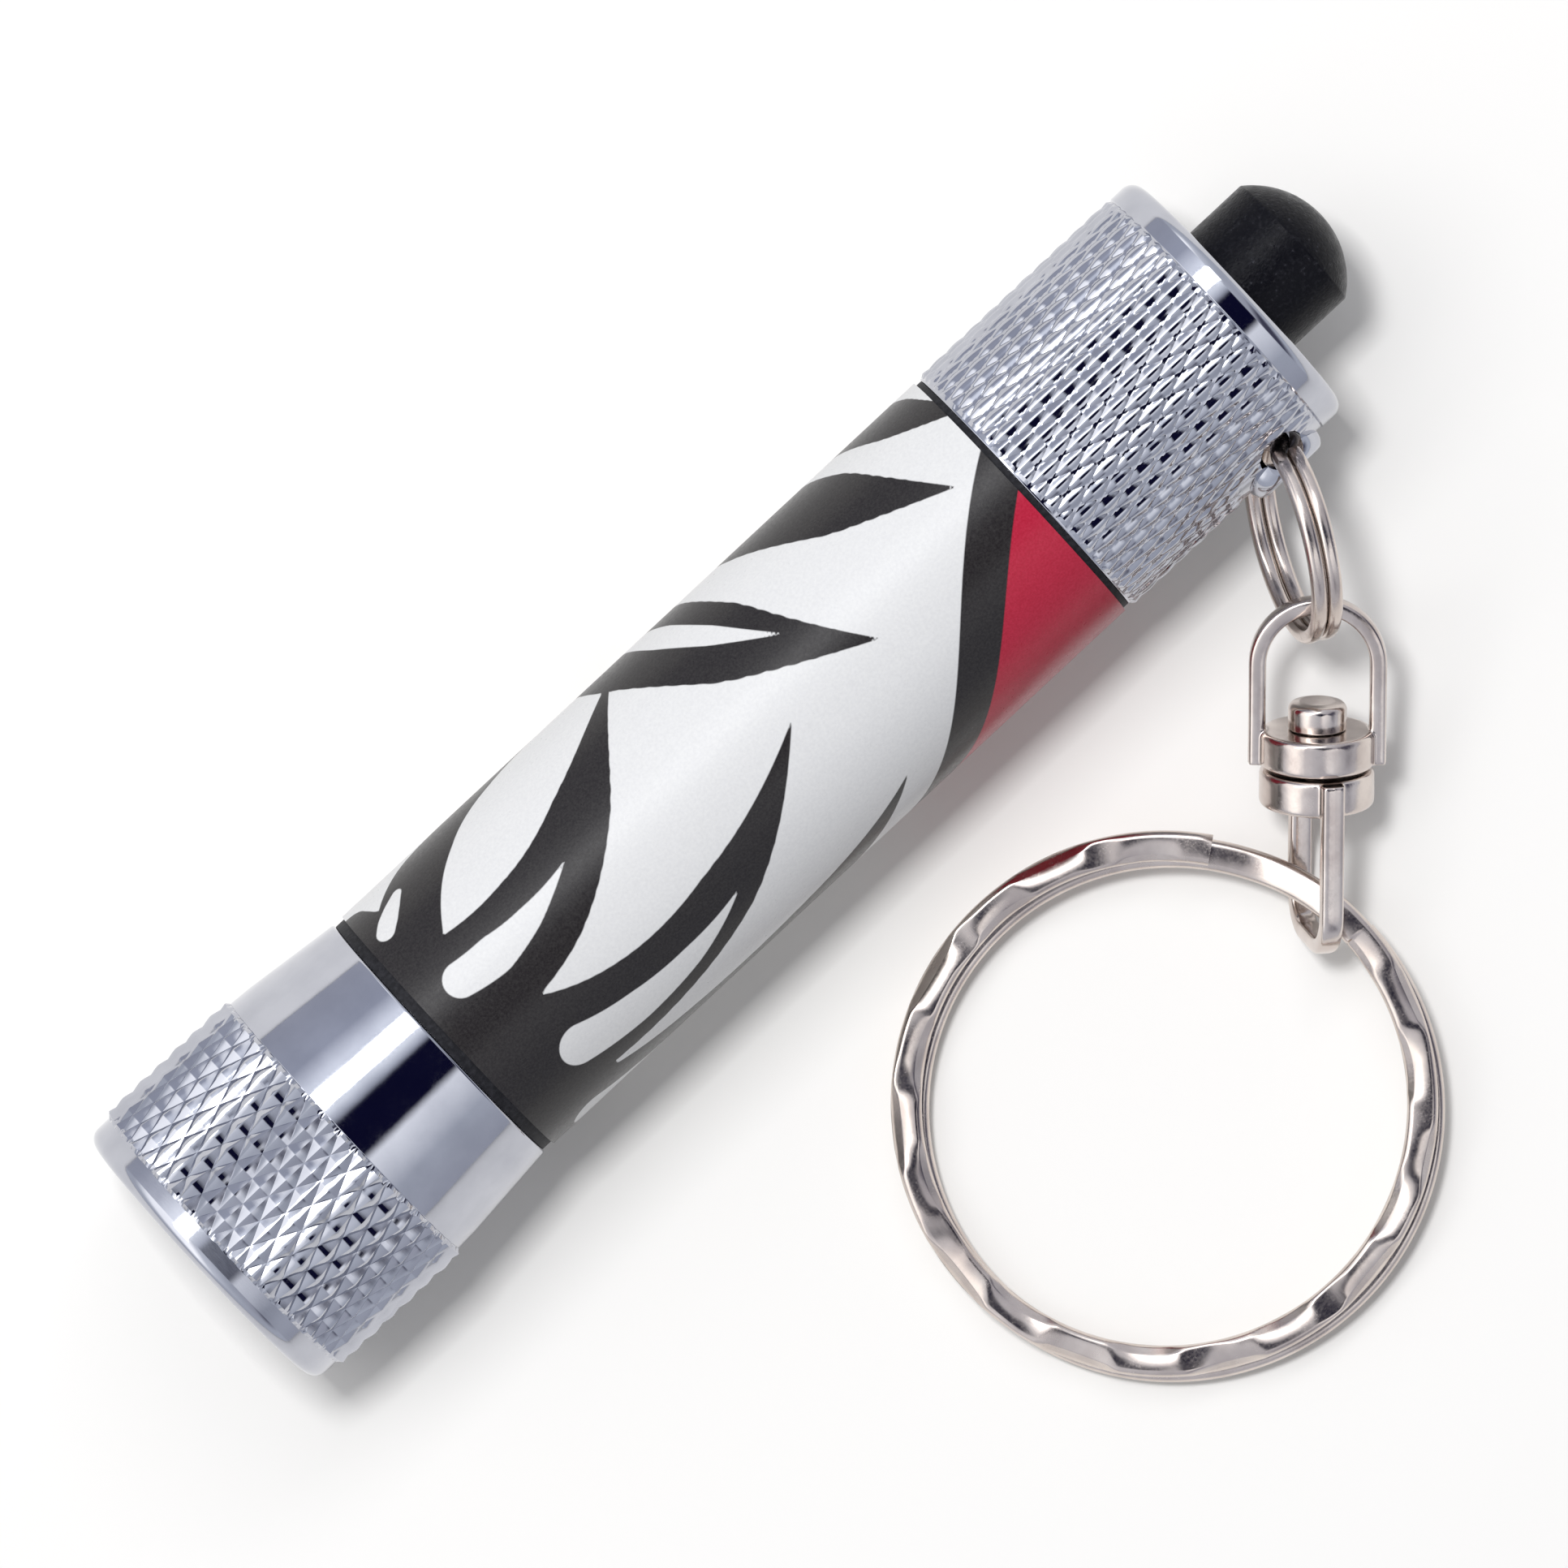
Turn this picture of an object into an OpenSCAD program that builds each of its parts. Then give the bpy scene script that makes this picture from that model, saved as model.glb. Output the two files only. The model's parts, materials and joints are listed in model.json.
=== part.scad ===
// Keychain flashlight: a short metal torch that screws open behind its head, with a
// push button in its tail and a swivel key ring hung from an eye in the tail cap.
// The torch lies along X with its lens towards -X, and the origin is on its axis,
// in the middle of the printed barrel. The key ring lies on the -Y side.

/* [Barrel] */
// Length of the printed part of the barrel
wrap_len = 39.6; // [36:0.2:50]
// Thickness of the printed film round the barrel
film_t = 0.1; // [0.05:0.01:0.2]
// Wall of the threaded spigots at both ends of the barrel
spigot_wall = 0.75; // [0.6:0.05:1.2]
// Step from a spigot up to the outside of the barrel
shoulder_h = 0.66; // [0.4:0.02:1]
// Length of the spigot inside the head
front_spigot_len = 6.6; // [5:0.1:8]
// Length of the spigot inside the tail cap
rear_spigot_len = 5; // [4:0.1:6]
// Width of the seal that shows between head and barrel
head_seam = 0.6; // [0.3:0.05:1]
// Width of the seal that shows between tail cap and barrel
tail_seam = 0.35; // [0.2:0.05:1]

/* [Head] */
// Length of the rounded lip round the lens
lip_len = 1.5; // [1.2:0.1:2.5]
// Length of the knurled band on the head
head_knurl_len = 8.45; // [7:0.05:12]
// Length of the slope behind the head's knurl
neck_len = 1.3; // [0.8:0.1:2]
// Length of the smooth collar of the head
collar_len = 5.25; // [4:0.05:8]
// Height that the collar gains from its rear edge to the neck
collar_flare = 0.58; // [0.3:0.02:0.9]
// Height of the knurl above the front of the collar
knurl_rise = 0.3; // [0.1:0.02:0.5]
// Depth of the step from the head's thread to its front bore
head_step = 0.35; // [0.2:0.05:0.5]
// Step from the knurl down to the lip
lip_step = 0.28; // [0.1:0.02:0.5]
// Width of the lip's rim over the lens
lip_overlap = 0.6; // [0.3:0.05:1]
// Thickness of the lip in front of the lens
lip_t = 1; // [0.6:0.1:1.3]

/* [Lens and light] */
// Thickness of the lens
lens_t = 1.2; // [0.8:0.1:2]
// Wire diameter of the seal behind the lens
lens_seal_d = 0.6; // [0.4:0.05:0.8]
// Diameter of the light emitting diode
led_d = 5; // [3:0.1:5.5]
// Width of the diode's base flange
led_flange_w = 0.35; // [0.2:0.05:0.6]
// Height of the diode from its flange to the start of its dome
led_body_h = 4.3; // [3:0.1:5]
// Length of the holder that carries the diode
led_holder_len = 3.5; // [2.5:0.1:4.5]
// Thickness of the circuit disc
circuit_t = 1; // [0.6:0.1:1.6]
// Space between the diode's two leads
lead_pitch = 2.54; // [2:0.02:3]
// Thickness of the diode's leads
lead_d = 0.5; // [0.4:0.05:0.6]
// Length of the contact spring in front of the cells
contact_spring_len = 4.4; // [3:0.1:5]

/* [Cells] */
// Diameter of one button cell
cell_d = 11.6; // [9.5:0.1:14]
// Height of one button cell
cell_h = 5.4; // [3:0.1:5.8]
// Wall of the sleeve round the cells
sleeve_wall = 0.45; // [0.3:0.05:0.8]

/* [Tail cap] */
// Length of the tail cap
tail_len = 14.85; // [13:0.05:19]
// Height of the tail cap above the printed film
tail_rise = 0.09; // [0.05:0.01:0.5]
// Radius of the tail cap's rounded end
tail_round = 1.5; // [0.8:0.1:2]
// Thickness of the end wall that guides the button
end_wall = 6.4; // [5.5:0.1:8]
// Distance of the key ring eye from the end of the cap
eye_inset = 4.05; // [3.6:0.05:4.6]
// Depth of the ring's wire inside the cap at the eye
eye_depth = 1.44; // [1.2:0.02:1.6]
// Diameter of the curved passage through the eye
eye_d = 2.3; // [2.1:0.05:2.5]
// Height of the eye's boss above the cap
boss_rise = 0.6; // [0.4:0.05:1]
// Length of the eye's boss along the torch
boss_len = 4.1; // [3.6:0.1:5]
// Width of the eye's boss round the cap
boss_w = 4.4; // [3.8:0.1:5]

/* [Button] */
// Diameter of the push button
button_d = 7.8; // [6.4:0.1:9.4]
// Height of the button outside the tail cap
button_h = 5.75; // [4:0.05:7]
// Height of the button's domed top
button_dome = 2; // [1:0.1:3]
// Wall of the rubber button
button_wall = 1; // [0.7:0.1:1.3]
// Width of the flange that keeps the button in
button_flange = 0.9; // [0.6:0.05:1.1]
// Distance that the button travels
button_travel = 2; // [1:0.1:2.5]

/* [Key ring] */
// Outer diameter of the small split ring
small_ring_d = 10.9; // [10:0.1:14]
// Wire thickness of the small split ring
small_wire = 0.8; // [0.7:0.05:0.9]
// Outer diameter of each coil of the large split ring
large_ring_d = 28; // [22:0.1:36]
// Radial width of the large ring's wire
large_wire_w = 1.6; // [1.3:0.05:1.9]
// Height of one coil of the large ring
large_wire_h = 1.1; // [0.9:0.05:1.3]
// Sideways offset between the large ring's two coils
coil_shift = 0.5; // [0:0.1:0.8]

/* [Swivel] */
// Outer width of both swivel loops
loop_w = 7.05; // [6.4:0.05:8.6]
// Thickness of the loops' strip
strip_t = 0.9; // [0.7:0.05:1]
// Width of the loops' strip
strip_w = 1.2; // [1:0.05:1.4]
// Length of the upper loop
bail_len = 8.9; // [8:0.1:11]
// Length of the lower loop
clevis_len = 9.5; // [9:0.1:12]
// Height of each round collar
collar_h = 1.9; // [1.4:0.1:2.4]
// Diameter of the swivel rivet
rivet_d = 2; // [1.6:0.1:2.5]
// Height of the rivet's round head
rivet_head_h = 1.45; // [1:0.05:1.6]

/* [Hidden] */
$fn = 72;

// Clearances, and how far a cutting shape overshoots a face
slip = 0.05;
seat_gap = 0.02;
guide_gap = 0.1;
over = 1;

// Radii of the torch, from the cells outwards
cell_count = 4;
cell_r = cell_d / 2;
sleeve_in_r = cell_r + slip;
sleeve_out_r = sleeve_in_r + sleeve_wall;
bore_r = sleeve_out_r + slip;
insert_r = bore_r - slip;
spigot_r = bore_r + spigot_wall;
barrel_r = spigot_r + shoulder_h;
film_r = barrel_r + film_t;
thread_bore_r = spigot_r + slip;
neck_r = film_r + collar_flare;
head_r = neck_r + knurl_rise;
head_bore_r = thread_bore_r - head_step;
lens_r = head_bore_r - guide_gap;
tail_r = film_r + tail_rise;
seal_inset = 0.06;
seal_r = barrel_r - seal_inset;
eye_r = tail_r - eye_depth;

// Places along the torch, from the lens to the button
front_shoulder_x = -wrap_len / 2;
rear_shoulder_x = wrap_len / 2;
head_rear_x = front_shoulder_x - head_seam;
collar_front_x = head_rear_x - collar_len;
neck_front_x = collar_front_x - neck_len;
knurl_front_x = neck_front_x - head_knurl_len;
front_x = knurl_front_x - lip_len;
barrel_front_x = front_shoulder_x - front_spigot_len;
barrel_rear_x = rear_shoulder_x + rear_spigot_len;
thread_relief = 0.6;
lens_x = front_x + lip_t;
lens_seal_x = lens_x + lens_t + lens_seal_d / 2 + seat_gap;
reflector_x = lens_seal_x + lens_seal_d / 2 + seat_gap;
reflector_rear_x = barrel_front_x - thread_relief;
led_flange_t = 1;
led_flange_x = barrel_front_x + 0.2;
led_base_x = led_flange_x + led_flange_t;
circuit_x = barrel_front_x + led_holder_len + seat_gap;
stack_x = circuit_x + circuit_t + contact_spring_len;
cell_pitch = cell_h + seat_gap;
stack_end_x = stack_x + cell_count * cell_pitch;
contact_t = 0.4;
housing_x = stack_end_x + contact_t + seat_gap;
cup_depth = 8.8;
cup_floor_x = barrel_rear_x - cup_depth;
ring_t = 1.2;
tail_front_x = rear_shoulder_x + tail_seam;
tail_end_x = tail_front_x + tail_len;
wall_x = tail_end_x - end_wall;
flange_t = 0.8;
flange_x = wall_x - seat_gap - flange_t;
skirt_t = 0.9;
skirt_x = flange_x - seat_gap - skirt_t;
rod_out = 0.95;
bridge_x = cup_floor_x + rod_out + button_travel + slip;
button_r = button_d / 2;
flange_r = button_r + button_flange;
cup_r = flange_r + 0.2;
rod_r = 1.5;
stem_r = 1.6;
floor_z = -head_r;

// Small split ring: it stands on edge through the eye of the tail cap
small_r = (small_ring_d - small_wire) / 2;
ring_heading = -118.5;
ring_lean = 12;
ring_lift = 0.2;
bail_drop = 18;
ring_away = [cos(ring_heading), sin(ring_heading), 0];
ring_left = [-sin(ring_heading), cos(ring_heading), 0];
ring_up = sin(ring_lean) * ring_left + [0, 0, cos(ring_lean)];
eye_point = [tail_end_x - eye_inset, -eye_r, ring_lift];
small_centre = eye_point + small_r * ring_away;
hang_point = small_centre + small_r * (cos(bail_drop) * ring_away - sin(bail_drop) * ring_up);

// Swivel: its axis runs away from the small ring and slopes down to the table
swivel_heading = -133;
loop_half = loop_w / 2;
loop_in_r = loop_half - strip_t;
collar_lap = 0.08;
hang_inset = 0.87;
hang_r = loop_in_r - hang_inset;
hang_side = 15;
collar_gap = 0.15;
clevis_roll = 76.6;
clevis_corner = 2.4;
bail_end = bail_len - loop_half;
clevis_start = bail_end + collar_gap;
clevis_end = clevis_start + clevis_len;
end_centre = clevis_end - loop_half;
slope = asin((hang_point[2] - floor_z - loop_half - 0.1) / (hang_r + end_centre));
swivel_along = [cos(swivel_heading) * cos(slope), sin(swivel_heading) * cos(slope), -sin(slope)];
swivel_side = [-sin(swivel_heading), cos(swivel_heading), 0];
swivel_centre = hang_point + hang_r * (cos(hang_side) * swivel_along + sin(hang_side) * swivel_side);

// Large split ring: it passes through the lower loop and rests on the table
pivot_inset = 1.85;
pivot_drop = 0.8;
pack_gap = 0.06;
pack_h = 2 * large_wire_h + pack_gap;
large_r = (large_ring_d - large_wire_w) / 2;
large_heading = -168.6;
pivot = swivel_centre + (clevis_end - strip_t - pivot_inset) * swivel_along - [0, 0, pivot_drop];
large_tilt = asin((pivot[2] - floor_z - pack_h / 2) / (2 * large_r));
ramp_angle = 37;

// Points of an arc about a centre, as [radius, x] pairs
function arc(centre, r, from, to, steps) =
  [for (i = [0 : steps]) let (a = from + (to - from) * i / steps)
    centre + r * [cos(a), sin(a)]];

// Place of a point that turns about Z while it climbs
function climb(r, angle, z) = [r * cos(angle), r * sin(angle), z];

// Solid of revolution about the torch's axis, from [radius, x] points
module turned(points) {
  rotate([0, 90, 0]) rotate_extrude() polygon(points);
}

// Plain disc or tube on the torch's axis
module disc(x, length, r, hole = 0) {
  translate([x, 0, 0]) rotate([0, 90, 0]) difference() {
    cylinder(h = length, r = r);
    if (hole > 0) translate([0, 0, -over]) cylinder(h = length + 2 * over, r = hole);
  }
}

// Round wire swept along a climbing circle about Z, closed at both ends
module climbing_wire(r, half_w, half_h, from, to, z0, z1, steps, sides = 8) {
  rings = [for (i = [0 : steps], j = [0 : sides - 1])
    let (a = from + (to - from) * i / steps, b = 360 * j / sides)
    climb(r + half_w * cos(b), a, z0 + (z1 - z0) * i / steps + half_h * sin(b))];
  walls = [for (i = [0 : steps - 1], j = [0 : sides - 1])
    let (k = (j + 1) % sides)
    [i * sides + j, (i + 1) * sides + j, (i + 1) * sides + k, i * sides + k]];
  near_end = [for (j = [0 : sides - 1]) j];
  far_end = [for (j = [sides - 1 : -1 : 0]) steps * sides + j];
  polyhedron(points = rings, faces = concat(walls, [near_end, far_end]), convexity = 10);
}

// Compression spring on the torch's axis between two places
module coil_spring(x0, x1, r, wire_r, turns) {
  translate([x0, 0, 0]) rotate([0, 90, 0])
    climbing_wire(r, wire_r, wire_r, 0, 360 * turns, wire_r, x1 - x0 - wire_r, 16 * turns, 6);
}

// Local frame of the small ring: X away from the torch, Z along the ring's axis
module at_small_ring() {
  translate(small_centre) rotate([0, 0, ring_heading]) rotate([90 - ring_lean, 0, 0]) children();
}

// Local frame of the swivel: X along its axis, upper loop in the XY plane
module at_swivel() {
  translate(swivel_centre) rotate([0, slope, swivel_heading]) children();
}

// Local frame of the large ring at the place where the lower loop holds it
module at_pivot() {
  translate(pivot) rotate([0, large_tilt, large_heading]) children();
}

// Section of a split ring's wire: flat, with its corners rounded off by a chamfer
module wire_section(w, h) {
  chamfer = 0.16 * h;
  polygon([
    [-w / 2, chamfer - h / 2], [chamfer - w / 2, -h / 2], [w / 2 - chamfer, -h / 2],
    [w / 2, chamfer - h / 2], [w / 2, h / 2 - chamfer], [w / 2 - chamfer, h / 2],
    [chamfer - w / 2, h / 2], [-w / 2, h / 2 - chamfer]
  ]);
}

// Part of one turn of wire about Z, from one angle through another
module wire_arc(r, w, h, from, sweep) {
  rotate([0, 0, from]) rotate_extrude(angle = sweep, $fn = 96)
    translate([r, 0]) wire_section(w, h);
}

// Split ring of two coils: the wire drops from the top coil to the lower one
module split_ring(r, w, h, gap, shift, start, ramp) {
  level = (h + gap) / 2;
  lap = 3;
  half_ramp = ramp / 2 + lap;
  steepness = atan(level / (r * sin(half_ramp)));
  translate([0, 0, level]) wire_arc(r, w, h, start, 360 - ramp);
  translate([shift[0], shift[1], -level]) wire_arc(r, w, h, start, 360 - ramp);
  translate([shift[0] / 2, shift[1] / 2, 0]) rotate([0, 0, start - ramp / 2])
    rotate([-steepness, 0, 0]) wire_arc(r, w * 0.94, h * 0.94, -half_ramp, 2 * half_ramp);
}

// --- Torch ---

module barrel_tube() {
  color("dimgray") difference() {
    union() {
      disc(barrel_front_x, barrel_rear_x - barrel_front_x, spigot_r);
      disc(front_shoulder_x, wrap_len, barrel_r);
    }
    disc(barrel_front_x - over, barrel_rear_x - barrel_front_x + 2 * over, bore_r);
  }
}

module printed_wrap() {
  color("whitesmoke") disc(front_shoulder_x, wrap_len, film_r, barrel_r);
}

module head_seal() {
  color("black") disc(head_rear_x + seat_gap, head_seam - seat_gap, seal_r, thread_bore_r);
}

module tail_seal() {
  color("black") disc(rear_shoulder_x, tail_seam - seat_gap, seal_r, thread_bore_r);
}

module head_shell() {
  lip_r = head_r - lip_step;
  round_r = 1.1;
  edge = 0.1;
  hole_r = lens_r - lip_overlap;
  color("silver") turned(concat(
    [[hole_r, front_x], [lip_r - round_r, front_x]],
    arc([lip_r - round_r, front_x + round_r], round_r, -90, 0, 6),
    [[lip_r, knurl_front_x], [head_r, knurl_front_x + edge], [head_r, neck_front_x - edge]],
    [[neck_r + edge, neck_front_x], [neck_r, collar_front_x], [film_r, head_rear_x]],
    [[thread_bore_r, head_rear_x], [thread_bore_r, reflector_rear_x]],
    [[head_bore_r, reflector_rear_x], [head_bore_r, lens_x - seat_gap]],
    [[hole_r, lens_x - seat_gap]]
  ));
}

module lens() {
  bevel = 0.15;
  color("lightcyan") turned([
    [0, lens_x], [lens_r - bevel, lens_x], [lens_r, lens_x + bevel],
    [lens_r, lens_x + lens_t], [0, lens_x + lens_t]
  ]);
}

module lens_seal() {
  color("black") translate([lens_seal_x, 0, 0]) rotate([0, 90, 0])
    rotate_extrude() translate([lens_r - lens_seal_d / 2, 0]) circle(d = lens_seal_d, $fn = 24);
}

module reflector() {
  rim_r = lens_r - 0.45;
  hole_r = led_d / 2 + guide_gap;
  depth = reflector_rear_x - reflector_x;
  steps = 8;
  bowl = [for (i = [0 : steps])
    let (u = i / steps) [hole_r + (rim_r - hole_r) * u, reflector_rear_x - depth * u * u]];
  color("silver") turned(concat(
    bowl, [[lens_r, reflector_x], [lens_r, reflector_rear_x]]
  ));
}

module led_emitter() {
  led_r = led_d / 2;
  dome_x = led_flange_x - led_body_h;
  color("aliceblue") union() {
    disc(dome_x, led_body_h, led_r);
    disc(led_flange_x, led_flange_t, led_r + led_flange_w);
    translate([dome_x, 0, 0]) sphere(r = led_r);
  }
}

module led_leads() {
  lead_end_x = circuit_x + circuit_t + 0.4;
  color("gainsboro") for (side = [-1, 1])
    translate([0, side * lead_pitch / 2, 0])
      disc(led_base_x + seat_gap, lead_end_x - led_base_x, lead_d / 2);
}

module lead_holes(x, length) {
  for (side = [-1, 1])
    translate([0, side * lead_pitch / 2, 0]) disc(x - over, length + 2 * over, lead_d / 2 + slip);
}

module led_holder() {
  color("white") difference() {
    disc(barrel_front_x, led_holder_len, insert_r);
    disc(barrel_front_x - over, led_base_x + over - barrel_front_x, led_d / 2 + led_flange_w + slip);
    lead_holes(barrel_front_x, led_holder_len);
  }
}

module circuit_disc() {
  color("darkgreen") difference() {
    disc(circuit_x, circuit_t, insert_r);
    lead_holes(circuit_x, circuit_t);
  }
}

module contact_spring() {
  color("goldenrod")
    coil_spring(circuit_x + circuit_t + seat_gap, stack_x - seat_gap, 2.6, 0.25, 4);
}

module cell_sleeve() {
  sleeve_x = circuit_x + circuit_t + seat_gap;
  color("white") disc(sleeve_x, stack_end_x - sleeve_x, sleeve_out_r, sleeve_in_r);
}

module button_cell(index) {
  cap_h = 0.5;
  x = stack_x + (index - 1) * cell_pitch;
  color("lightgray") union() {
    disc(x, cell_h - cap_h, cell_r);
    disc(x + cell_h - cap_h, cap_h, cell_r - 0.9);
  }
}

module button_cell_1() {
  button_cell(1);
}

module button_cell_2() {
  button_cell(2);
}

module button_cell_3() {
  button_cell(3);
}

module button_cell_4() {
  button_cell(4);
}

module contact_rod() {
  color("goldenrod") union() {
    disc(stack_end_x, contact_t, cell_r - 1.6);
    disc(stack_end_x, cup_floor_x + rod_out - stack_end_x, rod_r);
  }
}

module switch_housing() {
  housing_end_x = barrel_rear_x - ring_t - seat_gap;
  color("black") difference() {
    disc(housing_x, housing_end_x - housing_x, insert_r);
    disc(housing_x - over, cup_floor_x - housing_x + 2 * over, rod_r + slip);
    disc(cup_floor_x, cup_depth, cup_r);
  }
}

module retaining_ring() {
  slot_w = 1;
  slot_depth = 0.5;
  color("goldenrod") difference() {
    disc(barrel_rear_x - ring_t, ring_t, insert_r, cup_r);
    translate([barrel_rear_x - slot_depth, -bore_r, -slot_w / 2])
      cube([1, 2 * bore_r, slot_w]);
  }
}

// Outline of the eye's boss, seen from the side: a block with round corners
module boss_outline() {
  corner = 1;
  square([boss_len - 2 * corner, boss_w], center = true);
  square([boss_len, boss_w - 2 * corner], center = true);
  for (x = [-1, 1], y = [-1, 1])
    translate([x * (boss_len / 2 - corner), y * (boss_w / 2 - corner)]) circle(r = corner);
}

module eye_boss() {
  intersection() {
    disc(tail_front_x, tail_len, tail_r + boss_rise);
    translate([eye_point[0] - 0.15, -cup_r, 0])
      rotate([90, 0, 0]) linear_extrude(height = tail_r) boss_outline();
  }
}

// Curved passage that the small ring turns through, with flared mouths
module eye_passage() {
  mouth = 42;
  flare_r = eye_d / 2 + 0.35;
  at_small_ring() {
    rotate_extrude() translate([small_r, 0]) circle(d = eye_d, $fn = 32);
    for (side = [-1, 1])
      translate([-small_r * cos(mouth), side * small_r * sin(mouth), 0]) sphere(r = flare_r);
  }
}

module tail_cap() {
  relief_x = barrel_rear_x + 0.5;
  body = concat(
    [[thread_bore_r, tail_front_x], [tail_r, tail_front_x], [tail_r, tail_end_x - tail_round]],
    arc([tail_r - tail_round, tail_end_x - tail_round], tail_round, 0, 90, 6),
    [[button_r + guide_gap, tail_end_x], [button_r + guide_gap, wall_x]],
    [[cup_r, wall_x], [cup_r, relief_x], [thread_bore_r, relief_x]]
  );
  color("silver") difference() {
    union() {
      turned(body);
      eye_boss();
    }
    eye_passage();
  }
}

module push_button() {
  top_x = tail_end_x + button_h;
  edge_x = top_x - button_dome;
  dome_r = (button_r * button_r + button_dome * button_dome) / (2 * button_dome);
  dome_angle = asin(button_r / dome_r);
  inner_r = button_r - button_wall;
  inner_x = edge_x - 0.2;
  color("black") turned(concat(
    [[inner_r, flange_x], [flange_r, flange_x], [flange_r, flange_x + flange_t]],
    [[button_r, flange_x + flange_t]],
    arc([0, top_x - dome_r], dome_r, 90 - dome_angle, 90, 8),
    [[0, inner_x], [inner_r, inner_x]]
  ));
}

module plunger() {
  core_r = button_r - button_wall - slip;
  core_end_x = tail_end_x + button_h - button_dome - 0.25;
  stem_x = bridge_x + contact_t + seat_gap;
  color("ivory") union() {
    disc(stem_x, skirt_x - stem_x + 0.1, stem_r);
    disc(skirt_x, skirt_t, flange_r - 0.2);
    disc(skirt_x + skirt_t - 0.1, core_end_x - skirt_x - skirt_t + 0.1, core_r);
  }
}

module contact_bridge() {
  color("goldenrod") disc(bridge_x, contact_t, stem_r + 1);
}

module return_spring() {
  color("silver")
    coil_spring(cup_floor_x + seat_gap, skirt_x - seat_gap, flange_r - 0.55, 0.3, 6);
}

// --- Key ring ---

module small_split_ring() {
  wire_trim = 0.03;
  coil_gap = 0.05;
  split_start = 168;
  ramp = 24;
  color("silver") at_small_ring()
    split_ring(small_r, small_wire, small_wire - wire_trim, coil_gap, [0, 0], split_start, ramp);
}

// Flat loop with a straight open end, its outer width across Y
module loop_strip(from_x, to_x, corner) {
  inner_corner = corner - strip_t;
  straight = to_x - from_x - corner;
  translate([from_x, 0, -strip_w / 2]) linear_extrude(height = strip_w) difference() {
    union() {
      translate([corner, -loop_half]) square([straight, loop_w]);
      translate([0, -(loop_half - corner)]) square([corner + 0.01, 2 * (loop_half - corner)]);
      for (side = [-1, 1]) translate([corner, side * (loop_half - corner)]) circle(r = corner);
    }
    translate([corner, -loop_in_r]) square([straight + over, 2 * loop_in_r]);
    translate([strip_t, -(loop_half - corner)]) square([corner, 2 * (loop_half - corner)]);
    for (side = [-1, 1]) translate([corner, side * (loop_half - corner)]) circle(r = inner_corner);
  }
}

// Round collar of a swivel half, about the swivel's axis
module collar(x, hole_r) {
  disc(x, collar_h, loop_in_r + collar_lap, hole_r);
}

module bail() {
  color("silver") at_swivel() difference() {
    union() {
      loop_strip(-loop_half, bail_end, loop_half - 0.01);
      collar(bail_end - collar_h, 0);
    }
    disc(bail_end - collar_h - over, collar_h + 2 * over, rivet_d / 2 + slip);
  }
}

module clevis() {
  color("silver") at_swivel() rotate([clevis_roll, 0, 0]) difference() {
    union() {
      translate([clevis_end + clevis_start, 0, 0]) mirror([1, 0, 0])
        loop_strip(clevis_start, clevis_end, clevis_corner);
      collar(clevis_start, 0);
    }
    disc(clevis_start - over, collar_h + 2 * over, rivet_d / 2 + seat_gap);
  }
}

module rivet() {
  head_r2 = rivet_d / 2 + 0.5;
  peen_r = rivet_d / 2 + 0.35;
  head_x = bail_end - collar_h - slip;
  top_x = head_x - rivet_head_h;
  peen_x = clevis_start + collar_h + seat_gap;
  peen_h = 0.5;
  dome_rise = 0.12;
  round_r = 0.5;
  color("silver") at_swivel() turned(concat(
    [[0, top_x], [head_r2 - round_r, top_x + dome_rise]],
    arc([head_r2 - round_r, top_x + dome_rise + round_r], round_r, -90, 0, 4),
    [[head_r2, head_x], [rivet_d / 2, head_x], [rivet_d / 2, peen_x]],
    [[peen_r, peen_x], [peen_r - 0.2, peen_x + peen_h], [0, peen_x + peen_h]]
  ));
}

module large_split_ring() {
  shift_angle = swivel_heading + 45 - large_heading;
  shift = coil_shift * [cos(shift_angle), sin(shift_angle)];
  split_start = 205.3;
  color("silver") at_pivot() translate([large_r, 0, 0])
    split_ring(large_r, large_wire_w, large_wire_h, pack_gap, shift, split_start, ramp_angle);
}

barrel_tube();
printed_wrap();
head_seal();
tail_seal();
head_shell();
lens();
lens_seal();
reflector();
led_emitter();
led_leads();
led_holder();
circuit_disc();
contact_spring();
cell_sleeve();
button_cell_1();
button_cell_2();
button_cell_3();
button_cell_4();
contact_rod();
switch_housing();
retaining_ring();
tail_cap();
push_button();
plunger();
contact_bridge();
return_spring();
small_split_ring();
bail();
rivet();
clevis();
large_split_ring();
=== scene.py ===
import json
import math

import bmesh
import bpy
import numpy as np
from mathutils import Matrix, Vector


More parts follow.
